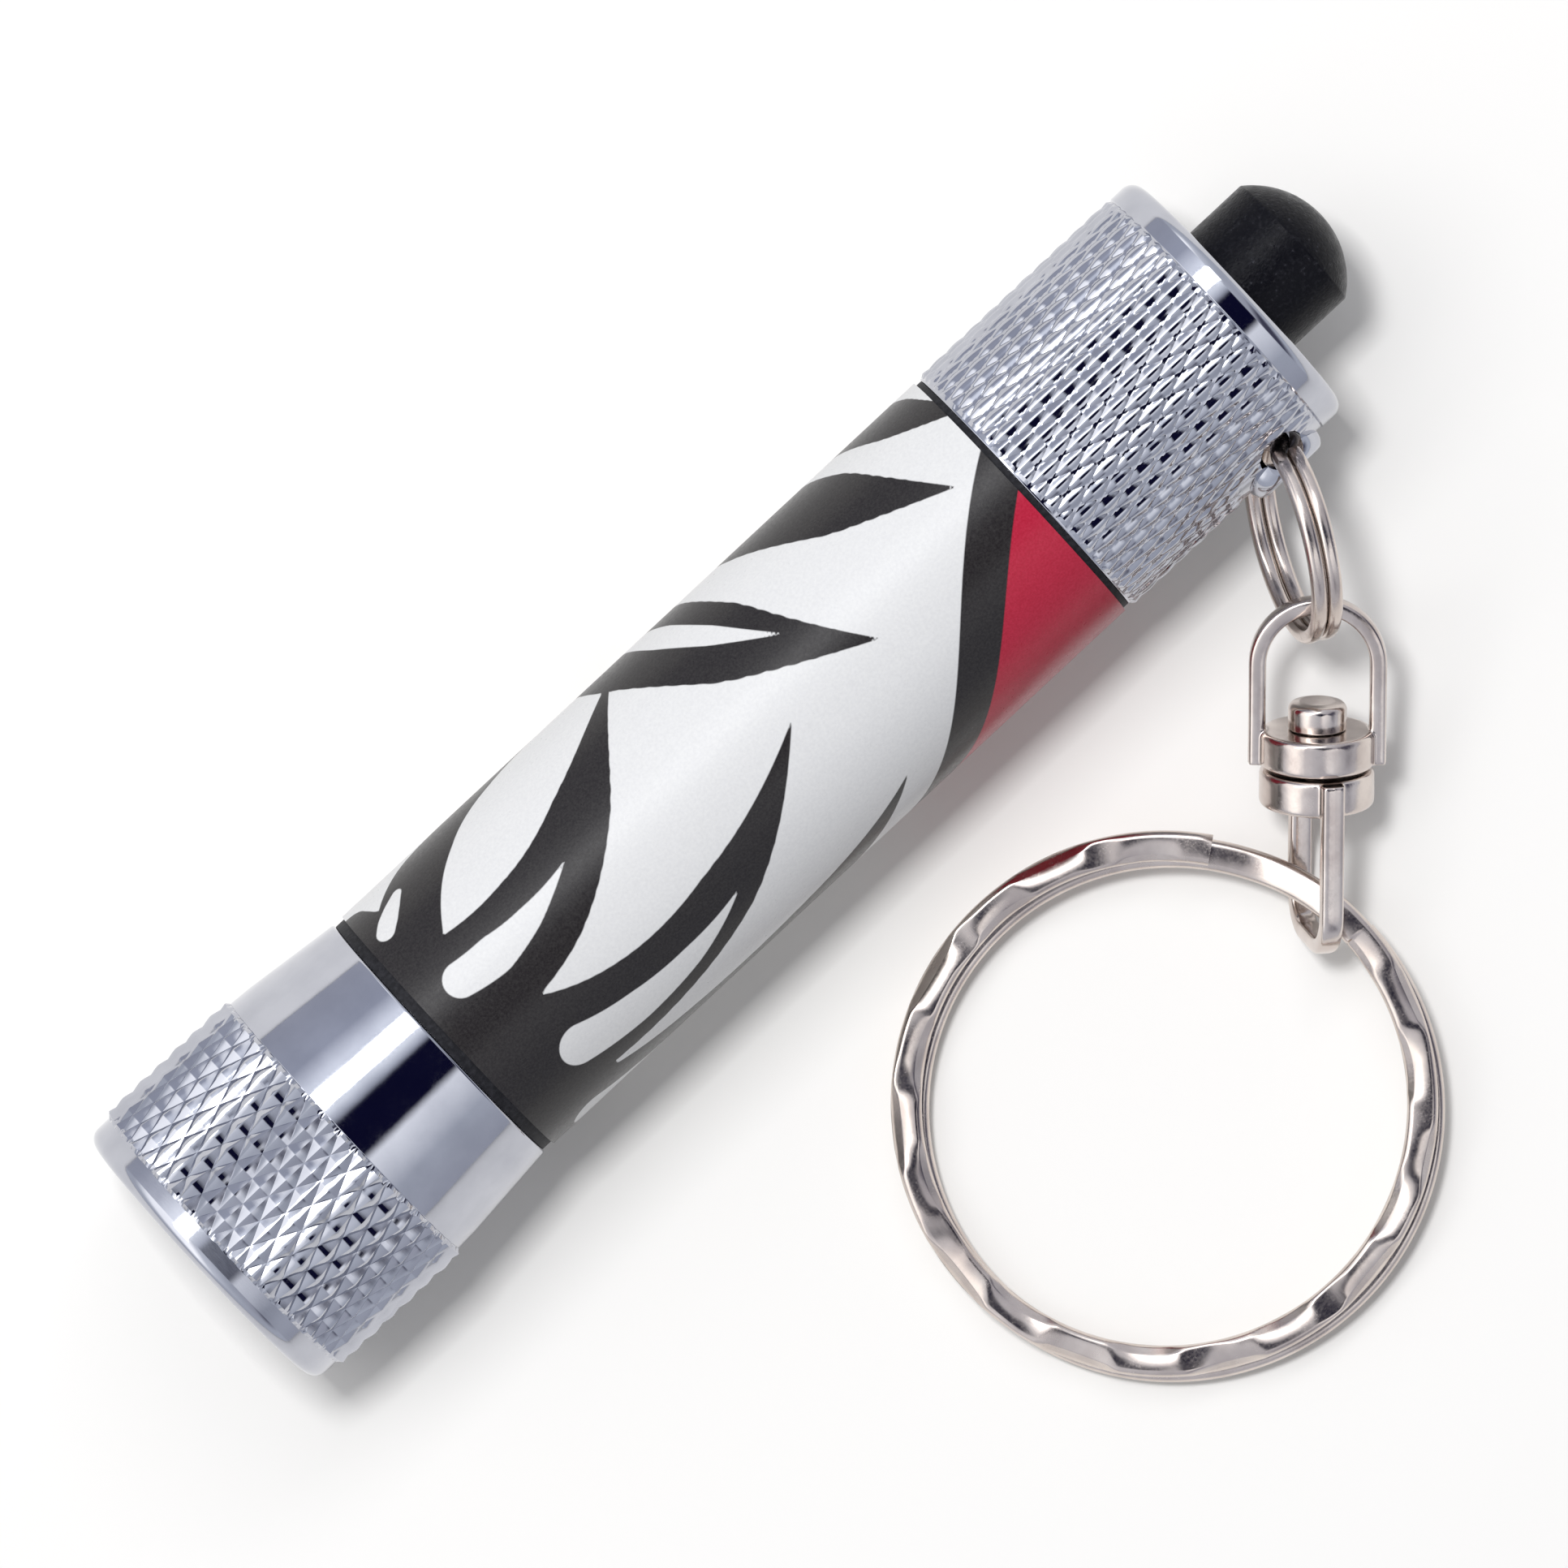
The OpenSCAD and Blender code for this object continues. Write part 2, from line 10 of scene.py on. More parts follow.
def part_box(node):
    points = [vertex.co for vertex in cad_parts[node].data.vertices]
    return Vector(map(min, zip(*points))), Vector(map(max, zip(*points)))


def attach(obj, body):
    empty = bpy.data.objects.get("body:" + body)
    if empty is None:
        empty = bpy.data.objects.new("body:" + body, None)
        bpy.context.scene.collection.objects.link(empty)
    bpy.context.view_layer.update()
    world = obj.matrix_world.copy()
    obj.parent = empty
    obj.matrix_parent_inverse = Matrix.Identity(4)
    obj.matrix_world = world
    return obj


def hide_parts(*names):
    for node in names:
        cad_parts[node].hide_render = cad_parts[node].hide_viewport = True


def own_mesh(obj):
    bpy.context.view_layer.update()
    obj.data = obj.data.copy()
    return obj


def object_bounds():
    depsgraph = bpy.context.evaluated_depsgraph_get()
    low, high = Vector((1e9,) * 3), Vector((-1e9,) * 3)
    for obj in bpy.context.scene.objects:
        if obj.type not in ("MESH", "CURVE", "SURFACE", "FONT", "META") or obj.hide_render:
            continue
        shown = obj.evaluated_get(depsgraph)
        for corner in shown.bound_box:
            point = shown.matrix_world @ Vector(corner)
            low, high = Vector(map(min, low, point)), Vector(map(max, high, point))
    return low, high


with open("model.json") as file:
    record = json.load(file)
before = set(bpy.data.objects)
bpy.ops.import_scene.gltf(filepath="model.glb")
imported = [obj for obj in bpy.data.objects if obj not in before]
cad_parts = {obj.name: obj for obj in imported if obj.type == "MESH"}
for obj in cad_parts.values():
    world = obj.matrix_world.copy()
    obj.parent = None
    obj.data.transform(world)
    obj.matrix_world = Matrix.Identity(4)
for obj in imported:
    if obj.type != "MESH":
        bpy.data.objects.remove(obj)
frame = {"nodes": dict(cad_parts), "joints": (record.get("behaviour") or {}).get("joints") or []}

cad_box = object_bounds()

# --- Table, light tent and camera ---
# The flashlight lies on a white table in a light tent. A long soft box beside the slot in the
# tent's roof puts the bright band on the chrome, and the dark slot itself puts the black one.
MM = 0.001


def calc(tree, operation, *values):
    """Adds a Math node to a tree and returns its result; each value is a number or a socket."""
    node = tree.nodes.new("ShaderNodeMath")
    node.operation = operation
    for socket, value in zip(node.inputs, values):
        if isinstance(value, bpy.types.NodeSocket):
            tree.links.new(value, socket)
        else:
            socket.default_value = value
    return node.outputs[0]


def ramp(tree, value, *stops):
    """Runs a value through a colour ramp with (place, red, green, blue) or (place, grey) stops."""
    node = tree.nodes.new("ShaderNodeValToRGB")
    elements = node.color_ramp.elements
    while len(elements) < len(stops):
        elements.new(0.5)
    for element, (place, *colour) in zip(elements, stops):
        element.position = place
        element.color = (*(colour if len(colour) == 3 else colour * 3), 1)
    tree.links.new(value, node.inputs[0])
    return node.outputs["Color"]


def blend_range(tree, value, start, stop, low=0.0, high=1.0):
    """Maps a value between start and stop smoothly onto the range from low to high."""
    node = tree.nodes.new("ShaderNodeMapRange")
    node.interpolation_type = "SMOOTHSTEP"
    for socket, number in zip(node.inputs[1:5], (start, stop, low, high)):
        socket.default_value = number
    tree.links.new(value, node.inputs[0])
    return node.outputs[0]


def compass(degrees):
    """Place on the tent's colour ramp of a direction, counted from the roof towards +Y."""
    return (degrees + 180) / 360


slot_colour = (0.004, 0.004, 0.02)
world = bpy.data.worlds.new("light_tent")
bpy.context.scene.world = world
world.use_nodes = True
tent = world.node_tree
direction = tent.nodes.new("ShaderNodeSeparateXYZ")
tent.links.new(tent.nodes.new("ShaderNodeTexCoord").outputs["Generated"], direction.inputs[0])
roll = calc(tent, "ARCTAN2", direction.outputs["Y"], direction.outputs["Z"])
across_tent = ramp(
    tent, calc(tent, "MULTIPLY_ADD", roll, 0.5 / math.pi, 0.5),
    (compass(-100), 0.30, 0.31, 0.36), (compass(-58), 0.38, 0.40, 0.45), (compass(-29), 0.82, 0.83, 0.86),
    (compass(-23), *slot_colour), (compass(4), *slot_colour), (compass(8), 0.40, 0.42, 0.48),
    (compass(14), 0.80, 0.83, 0.88), (compass(36), 0.80, 0.83, 0.90), (compass(52), 0.34, 0.36, 0.43),
    (compass(100), 0.30, 0.31, 0.36))
slant = calc(tent, "MULTIPLY_ADD", direction.outputs["Y"], 0.43,
             calc(tent, "MULTIPLY_ADD", direction.outputs["X"], -0.25, 0.5))
along_tent = ramp(
    tent, slant, (0.0, 0.05, 0.05, 0.08), (0.17, 0.06, 0.06, 0.09), (0.25, 0.34, 0.35, 0.40),
    (0.45, 0.42, 0.44, 0.49), (0.64, 0.58, 0.60, 0.65), (0.74, 1.2, 1.2, 1.2), (1.0, 0.9, 0.91, 0.94))
height = blend_range(tent, direction.outputs["Z"], 0.15, 0.5)
aside = blend_range(
    tent, calc(tent, "ABSOLUTE", calc(tent, "SUBTRACT", direction.outputs["X"], 0.1)), 0.2, 0.32)


def mixed(tree, share, first, second):
    """Mixes two colours, each a socket or (red, green, blue)."""
    node = tree.nodes.new("ShaderNodeMix")
    node.data_type = "RGBA"
    tree.links.new(share, node.inputs[0])
    for socket, colour in ((node.inputs[6], first), (node.inputs[7], second)):
        if isinstance(colour, bpy.types.NodeSocket):
            tree.links.new(colour, socket)
        else:
            socket.default_value = (*colour, 1)
    return node.outputs[2]


along_tent = mixed(tent, height, (0.40, 0.42, 0.47), along_tent)
background = tent.nodes["Background"]
tent.links.new(mixed(tent, aside, across_tent, along_tent), background.inputs["Color"])
mirrored = tent.nodes.new("ShaderNodeLightPath").outputs["Is Glossy Ray"]
tent.links.new(calc(tent, "MULTIPLY_ADD", mirrored, 0.85, 0.7), background.inputs["Strength"])


def soft_box(name, degrees, distance, length, width, power, mirrored=True):
    """A rectangular lamp over the table, turned about the flashlight's axis from straight above."""
    lamp = bpy.data.lights.new(name, "AREA")
    lamp.shape = "RECTANGLE"
    lamp.size = length
    lamp.size_y = width
    lamp.energy = power
    stand = bpy.data.objects.new(name, lamp)
    angle = math.radians(degrees)
    stand.location = (0, math.sin(angle) * distance, math.cos(angle) * distance)
    stand.rotation_euler = (-angle, 0, 0)
    stand.visible_glossy = mirrored
    bpy.context.scene.collection.objects.link(stand)


soft_box("long_soft_box", degrees=24, distance=0.5, length=0.7, width=0.13, power=0.95)
soft_box("key_lamp", degrees=13, distance=0.7, length=0.11, width=0.11, power=3.3, mirrored=False)

table_half = 0.8
table_mesh = bpy.data.meshes.new("table")
table_mesh.from_pydata(
    [(x * table_half, y * table_half, cad_box[0].z) for x, y in ((-1, -1), (1, -1), (1, 1), (-1, 1))],
    [], [(0, 1, 2, 3)])
table = bpy.data.objects.new("table", table_mesh)
bpy.context.scene.collection.objects.link(table)
table_paint = bpy.data.materials.new("white_table")
table_paint.use_nodes = True
table_shader = table_paint.node_tree.nodes["Principled BSDF"]
table_shader.inputs["Base Color"].default_value = (0.72, 0.712, 0.70, 1)
table_shader.inputs["Emission Color"].default_value = (1.0, 0.97, 0.90, 1)
table_shader.inputs["Emission Strength"].default_value = 0.11
table_shader.inputs["Roughness"].default_value = 0.9
table_shader.inputs["Specular IOR Level"].default_value = 0.0
table_mesh.materials.append(table_paint)

camera = bpy.data.cameras.new("studio_camera")
camera_height = 0.75
frame_width = 79.5 * MM
camera_turn = math.radians(-43)
frame_centre = Vector((1.15, -2.5)) * MM
camera.lens = camera.sensor_width * camera_height / frame_width
camera.clip_start = 0.01
camera_stand = bpy.data.objects.new("studio_camera", camera)
camera_stand.location = (*frame_centre, camera_height)
camera_stand.rotation_euler = (0, 0, camera_turn)
bpy.context.scene.collection.objects.link(camera_stand)
bpy.context.scene.camera = camera_stand
bpy.context.scene.view_settings.view_transform = "Standard"


# --- Head shell ---
# The head is one piece of chromed brass, turned on a lathe. Its lip folds over the lens, and a
# diamond knurl is rolled into the thickest part. Behind that the collar tapers to the barrel.


def finish(name, colour, metallic=0.0, roughness=0.4, **sockets):
    """A new surface finish. Sockets are given by name, with _ for a space."""
    material = bpy.data.materials.new(name)
    material.use_nodes = True
    shader = material.node_tree.nodes["Principled BSDF"]
    shader.inputs["Base Color"].default_value = (*colour, 1)
    shader.inputs["Metallic"].default_value = metallic
    shader.inputs["Roughness"].default_value = roughness
    for socket, value in sockets.items():
        shader.inputs[socket.replace("_", " ")].default_value = value
    return material, material.node_tree, shader


def grain(tree, size, detail=3.0, stretch=(1, 1, 1), roughness=0.5):
    """Noise in object coordinates whose grains are about size mm wide."""
    place = tree.nodes.new("ShaderNodeMapping")
    place.inputs["Scale"].default_value = [s / (size * MM) for s in stretch]
    tree.links.new(tree.nodes.new("ShaderNodeTexCoord").outputs["Object"], place.inputs[0])
    noise = tree.nodes.new("ShaderNodeTexNoise")
    noise.inputs["Scale"].default_value = 1.0
    noise.inputs["Detail"].default_value = detail
    noise.inputs["Roughness"].default_value = roughness
    tree.links.new(place.outputs[0], noise.inputs["Vector"])
    return noise.outputs[0]


def spread(tree, value, low, high, start=0.3, stop=0.7):
    """Maps a noise value onto the range from low to high."""
    node = tree.nodes.new("ShaderNodeMapRange")
    for socket, number in zip(node.inputs[1:5], (start, stop, low, high)):
        socket.default_value = number
    tree.links.new(value, node.inputs[0])
    return node.outputs[0]


def relief(tree, shader, height, depth):
    """Gives a shader the fine relief of a height value, depth mm deep."""
    node = tree.nodes.new("ShaderNodeBump")
    node.inputs["Distance"].default_value = depth * MM
    node.inputs["Strength"].default_value = 1.0
    tree.links.new(height, node.inputs["Height"])
    tree.links.new(node.outputs[0], shader.inputs["Normal"])


def plated(name, clean, dull, smooth, hazy, wave=0.004):
    """Bright plating: two tones that drift into each other, a faint haze and a wavy polish."""
    material, tree, shader = finish(name, clean, metallic=1.0, roughness=smooth)
    patches = grain(tree, 2.4, detail=4.0)
    tree.links.new(ramp(tree, patches, (0.35, *clean), (0.7, *dull)), shader.inputs["Base Color"])
    haze = calc(tree, "MULTIPLY", grain(tree, 1.1, detail=5.0), grain(tree, 0.13, detail=2.0))
    tree.links.new(spread(tree, haze, smooth, hazy, 0.15, 0.45), shader.inputs["Roughness"])
    polish = calc(tree, "ADD", grain(tree, 1.6, detail=2.0), calc(
        tree, "MULTIPLY", grain(tree, 0.09, detail=1.0, stretch=(1, 0.2, 0.2)), 0.06))
    relief(tree, shader, polish, wave)
    return material


def geometry_tree(name, **inputs):
    """Starts a Geometry Nodes tree with named inputs, each given as (socket type, first value)."""
    tree = bpy.data.node_groups.new(name, "GeometryNodeTree")
    tree.interface.new_socket("Geometry", in_out="INPUT", socket_type="NodeSocketGeometry")
    for label, (kind, value) in inputs.items():
        socket = tree.interface.new_socket(label, in_out="INPUT", socket_type="NodeSocket" + kind)
        if value is not None:
            socket.default_value = value
    tree.interface.new_socket("Geometry", in_out="OUTPUT", socket_type="NodeSocketGeometry")
    return tree, tree.nodes.new("NodeGroupInput").outputs, tree.nodes.new("NodeGroupOutput").inputs


def add(tree, kind, links=None, **settings):
    """Adds a node, with its settings, and links or fills its inputs by name or number."""
    node = tree.nodes.new(kind)
    for key, value in settings.items():
        setattr(node, key, value)
    for key, value in (links or {}).items():
        if isinstance(value, bpy.types.NodeSocket):
            tree.links.new(value, node.inputs[key])
        else:
            node.inputs[key].default_value = value
    return node


def end_tree(tree, geometry, material, outputs):
    """Ends a tree in Realize Instances and Set Material."""
    solid = add(tree, "GeometryNodeRealizeInstances", {0: geometry})
    coated = add(tree, "GeometryNodeSetMaterial", {"Geometry": solid.outputs[0], "Material": material})
    tree.links.new(coated.outputs[0], outputs[0])


def shaped_by(blank, tree, **values):
    """Runs a tree on a blank with the given inputs, and keeps the result as a plain mesh."""
    modifier = blank.modifiers.new(tree.name, "NODES")
    modifier.node_group = tree
    for item in tree.interface.items_tree:
        if item.in_out == "INPUT" and item.name in values:
            modifier[item.identifier] = values[item.name]
    depsgraph = bpy.context.evaluated_depsgraph_get()
    mesh = bpy.data.meshes.new_from_object(blank.evaluated_get(depsgraph))
    blank.modifiers.clear()
    blank.data = mesh
    return blank


def piece_of(name, vertices, faces):
    """A new object at the origin, from vertices in mm."""
    mesh = bpy.data.meshes.new(name)
    mesh.from_pydata([tuple(c * MM for c in v) for v in vertices], [], faces)
    piece = bpy.data.objects.new(name, mesh)
    bpy.context.scene.collection.objects.link(piece)
    return piece


def rounded(points, closed=True, steps=4):
    """Rounds an outline of (x, radius, fillet) points, all in mm, and returns (x, radius) points."""
    smooth = []
    for i, (x, r, fillet) in enumerate(points):
        here = Vector((x, r))
        if not fillet or (not closed and i in (0, len(points) - 1)):
            smooth.append((x, r))
            continue
        back = Vector(points[i - 1][:2]) - here
        on = Vector(points[(i + 1) % len(points)][:2]) - here
        half = back.angle(on) / 2
        reach = min(fillet / math.tan(half), back.length * 0.49, on.length * 0.49)
        radius = reach * math.tan(half)
        middle = (back.normalized() + on.normalized()).normalized()
        centre = here + middle * (radius / math.sin(half))
        first = here + back.normalized() * reach - centre
        last = here + on.normalized() * reach - centre
        start = math.atan2(first.y, first.x)
        sweep = (math.atan2(last.y, last.x) - start + math.pi) % (2 * math.pi) - math.pi
        for k in range(steps + 1):
            angle = start + sweep * k / steps
            smooth.append((centre.x + radius * math.cos(angle), centre.y + radius * math.sin(angle)))
    return smooth


def turned(name, outline, columns=96, closed=True, cut_rows=(), half_diamond=0):
    """A piece turned about the flashlight's axis. Rows of the outline named in cut_rows are marked
    for the knurl, and their cells are split along the grooves, half_diamond columns apart."""
    vertices, faces, rings = [], [], []
    for x, r in outline:
        if r < 1e-6:
            rings.append([len(vertices)] * columns)
            vertices.append((x, 0, 0))
            continue
        rings.append([len(vertices) + j for j in range(columns)])
        for j in range(columns):
            angle = 2 * math.pi * j / columns
            vertices.append((x, -r * math.cos(angle), r * math.sin(angle)))
    for i in range(len(rings) if closed else len(rings) - 1):
        a, b = rings[i], rings[(i + 1) % len(rings)]
        cut = i in cut_rows and i + 1 in cut_rows
        first = i - cut_rows[0] if cut else 0
        for j in range(columns):
            k = (j + 1) % columns
            quad = [a[j], b[j], b[k], a[k]]
            if a[j] == a[k]:
                faces.append((a[j], b[j], b[k]))
            elif b[j] == b[k]:
                faces.append((a[j], b[j], a[k]))
            elif cut and (first + j + 1) % (2 * half_diamond) == half_diamond:
                faces.extend([(quad[0], quad[1], quad[3]), (quad[1], quad[2], quad[3])])
            elif cut and (first - j) % (2 * half_diamond) == half_diamond:
                faces.extend([(quad[0], quad[1], quad[2]), (quad[0], quad[2], quad[3])])
            else:
                faces.append(tuple(quad))
    piece = piece_of(name, vertices, faces)
    zone = piece.data.attributes.new("cut_zone", "FLOAT", "POINT")
    marked = {v for i in cut_rows for v in rings[i]}
    zone.data.foreach_set("value", [1.0 if v in marked else 0.0 for v in range(len(vertices))])
    return piece


def dressed(piece, *materials, sharp=32, outward=True):
    """Smooths a piece's shading but for its sharp edges, turns its faces out and gives it materials."""
    work = bmesh.new()
    work.from_mesh(piece.data)
    if outward:
        bmesh.ops.recalc_face_normals(work, faces=work.faces)
    limit = math.radians(sharp)
    for face in work.faces:
        face.smooth = True
    for edge in work.edges:
        edge.smooth = len(edge.link_faces) == 2 and edge.calc_face_angle(0) < limit
    work.to_mesh(piece.data)
    work.free()
    if materials:
        piece.data.materials.clear()
        for material in materials:
            piece.data.materials.append(material)
    return piece


knurl, given, result = geometry_tree(
    "diamond_knurl", Band_start=("Float", 0.0), Diamond_length=("Float", 0.0),
    Diamonds_round=("Float", 40.0), Band_end=("Float", 0.0), Cut_depth=("Float", 0.0),
    Flat_top=("Float", 0.1), Pillow=("Float", 0.0), Run_out=("Float", 0.0), Pad_start=("Float", 1.0),
    Pad_half_width=("Float", 0.0), Pad_edge=("Float", 0.001), Pad_depth=("Float", 0.0),
    Finish=("Material", None))
spot = add(knurl, "ShaderNodeSeparateXYZ", {0: add(knurl, "GeometryNodeInputPosition").outputs[0]}).outputs
radius = calc(knurl, "SQRT", calc(
    knurl, "ADD", calc(knurl, "MULTIPLY", spot["Y"], spot["Y"]),
    calc(knurl, "MULTIPLY", spot["Z"], spot["Z"])))
turn = calc(knurl, "ARCTAN2", spot["Z"], calc(knurl, "MULTIPLY", spot["Y"], -1.0))
along = calc(
    knurl, "DIVIDE", calc(knurl, "SUBTRACT", spot["X"], given["Band_start"]), given["Diamond_length"])
around = calc(knurl, "DIVIDE", calc(knurl, "MULTIPLY", turn, given["Diamonds_round"]), 2 * math.pi)
from_peak = []
for slant in ("ADD", "SUBTRACT"):
    across = calc(knurl, slant, along, around)
    from_peak.append(calc(knurl, "MULTIPLY", 2.0, calc(
        knurl, "ABSOLUTE", calc(knurl, "SUBTRACT", across, calc(knurl, "ROUND", across)))))
point = calc(knurl, "SUBTRACT", 1.0, calc(knurl, "MAXIMUM", *from_peak))
point = calc(
    knurl, "MINIMUM", calc(knurl, "DIVIDE", point, calc(knurl, "SUBTRACT", 1.0, given["Flat_top"])), 1.0)
bowed = [calc(knurl, "SUBTRACT", 1.0, calc(knurl, "MULTIPLY", side, side)) for side in from_peak]
bulge = calc(knurl, "MULTIPLY", calc(knurl, "MULTIPLY", *bowed), given["Pillow"])
point = calc(
    knurl, "ADD", bulge, calc(knurl, "MULTIPLY", point, calc(knurl, "SUBTRACT", 1.0, given["Pillow"])))
groove = calc(knurl, "SUBTRACT", 1.0, point)
to_end = calc(knurl, "MINIMUM", calc(knurl, "SUBTRACT", spot["X"], given["Band_start"]),
              calc(knurl, "SUBTRACT", given["Band_end"], spot["X"]))
chamfer = calc(knurl, "SUBTRACT", 1.0, calc(knurl, "DIVIDE", to_end, given["Run_out"]))
cut = calc(knurl, "MULTIPLY", calc(knurl, "MAXIMUM", groove, chamfer), given["Cut_depth"])
beside = calc(knurl, "MULTIPLY", calc(knurl, "ABSOLUTE", turn), radius)
pad = calc(knurl, "MINIMUM", calc(knurl, "SUBTRACT", given["Pad_half_width"], beside),
           calc(knurl, "SUBTRACT", spot["X"], given["Pad_start"]))
pad = add(knurl, "ShaderNodeClamp", {0: calc(knurl, "DIVIDE", pad, given["Pad_edge"])}).outputs[0]
cut = calc(knurl, "ADD", calc(knurl, "MULTIPLY", cut, calc(knurl, "SUBTRACT", 1.0, pad)),
           calc(knurl, "MULTIPLY", given["Pad_depth"], pad))
zone = add(knurl, "GeometryNodeInputNamedAttribute", {0: "cut_zone"}, data_type="FLOAT").outputs[0]
shrink = calc(knurl, "SUBTRACT", 1.0, calc(knurl, "DIVIDE", calc(knurl, "MULTIPLY", cut, zone), radius))
moved = add(knurl, "ShaderNodeCombineXYZ", {
    0: spot["X"], 1: calc(knurl, "MULTIPLY", spot["Y"], shrink),
    2: calc(knurl, "MULTIPLY", spot["Z"], shrink)})
pressed = add(knurl, "GeometryNodeSetPosition", {"Geometry": given["Geometry"], "Position": moved.outputs[0]})
end_tree(knurl, pressed.outputs[0], given["Finish"], result)

chrome = plated("head_chrome", (0.52, 0.53, 0.58), (0.45, 0.46, 0.51), 0.04, 0.11)

fineness = 6
head_low, head_high = (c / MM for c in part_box("head_shell"))
head_front, head_rear, head_radius = head_low.x, head_high.x, head_high.z
head_diamonds = 44
head_rows = 7 * fineness
knurl_front, knurl_rear = head_front + 1.5, head_front + 9.95
head_cut = 0.27
lip_radius, lip_hole = head_radius - 0.28, 6.1
lens_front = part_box("lens")[0].x / MM
thread_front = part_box("reflector")[1].x / MM
before_knurl = rounded([
    (lens_front, lip_hole, 0.05), (head_front, lip_hole, 0.22), (head_front, lip_radius, 1.15),
    (knurl_front - 0.02, lip_radius, 0.06),
    (knurl_front - 0.02, head_radius - head_cut, 0)], closed=False, steps=8)
after_knurl = rounded([
    (knurl_rear, head_radius - head_cut, 0), (knurl_rear + 0.03, head_radius - 0.24, 0.05),
    (knurl_rear + 1.25, 8.42, 0.35), (head_rear, 7.86, 0.18), (head_rear, 7.16, 0.1),
    (thread_front, 7.16, 0), (thread_front, 6.81, 0), (lens_front - 0.02, 6.81, 0)], closed=False, steps=8)
knurl_rings = [
    (knurl_front + (knurl_rear - knurl_front) * i / head_rows, head_radius) for i in range(head_rows + 1)]
first_cut = len(before_knurl)
head = turned(
    "head_shell_knurled", before_knurl + knurl_rings + after_knurl, columns=head_diamonds * 2 * fineness,
    cut_rows=range(first_cut, first_cut + len(knurl_rings)), half_diamond=fineness)
shaped_by(
    head, knurl, Band_start=knurl_front * MM, Band_end=knurl_rear * MM,
    Diamond_length=2 * fineness * (knurl_rear - knurl_front) / head_rows * MM,
    Diamonds_round=float(head_diamonds),
    Cut_depth=head_cut * MM, Flat_top=0.05, Pillow=0.25, Run_out=0.2 * MM, Finish=chrome)
dressed(head)
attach(head, "head")
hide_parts("head_shell")


# --- Barrel, its printed film and the two seals ---
# A plain turned aluminium tube with a thread at each end. A printed film is wrapped round its
# middle with a satin varnish over the ink, and a black rubber ring closes each joint.
turned_aluminium, tree, shader = finish("turned_aluminium", (0.62, 0.63, 0.65), metallic=1.0, roughness=0.3)
tool_marks = grain(tree, 0.35, detail=2.0, stretch=(6, 0.15, 0.15))
tree.links.new(spread(tree, tool_marks, 0.22, 0.42), shader.inputs["Roughness"])
relief(tree, shader, tool_marks, 0.01)


def coat(node, material):
    """Gives a CAD node a finish by its material slots, and leaves its mesh alone."""
    mesh = frame["nodes"][node].data
    mesh.materials.clear()
    mesh.materials.append(material)


coat("barrel_tube", turned_aluminium)

seal_rubber, tree, shader = finish("seal_rubber", (0.01, 0.01, 0.012), roughness=0.6, Specular_IOR_Level=0.2)
dust = grain(tree, 0.25, detail=4.0)
tree.links.new(ramp(tree, dust, (0.4, 0.008, 0.008, 0.010), (0.75, 0.022, 0.022, 0.026)),
               shader.inputs["Base Color"])
relief(tree, shader, dust, 0.02)
for seal in ("head_seal", "tail_seal", "lens_seal"):
    coat(seal, seal_rubber)

film_low, film_high = (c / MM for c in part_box("printed_wrap"))
film_radius = film_high.z
film_girth = 2 * math.pi * film_radius
film_length = film_high.x - film_low.x


def brush(points, widths, steps=24):
    """A brush stroke of the print: circles along a cubic curve, as (x, y, radius) rows in mm."""
    t = np.linspace(0, 1, steps)[:, None]
    a, b, c, d = (np.array(p, float) for p in points)
    path = (1 - t) ** 3 * a + 3 * (1 - t) ** 2 * t * b + 3 * (1 - t) * t ** 2 * c + t ** 3 * d
    width = np.interp(t[:, 0], np.linspace(0, 1, len(widths)), widths)
    return np.column_stack([path, width])


def inked(spots, strokes):
    """Distance in mm from each spot to the nearest edge of the strokes, below zero inside them."""
    best = np.full(len(spots), 99.0)
    for stroke in strokes:
        for (x, y, width), (next_x, next_y, next_width) in zip(stroke[:-1], stroke[1:]):
            off_x = spots[:, 0] - x
            off_y = (spots[:, 1] - y + film_girth / 2) % film_girth - film_girth / 2
            go_x, go_y = next_x - x, next_y - y
            t = np.clip((off_x * go_x + off_y * go_y) / (go_x ** 2 + go_y ** 2), 0, 1)
            away = np.hypot(off_x - t * go_x, off_y - t * go_y) - (width + (next_width - width) * t)
            best = np.minimum(best, away)
    return best


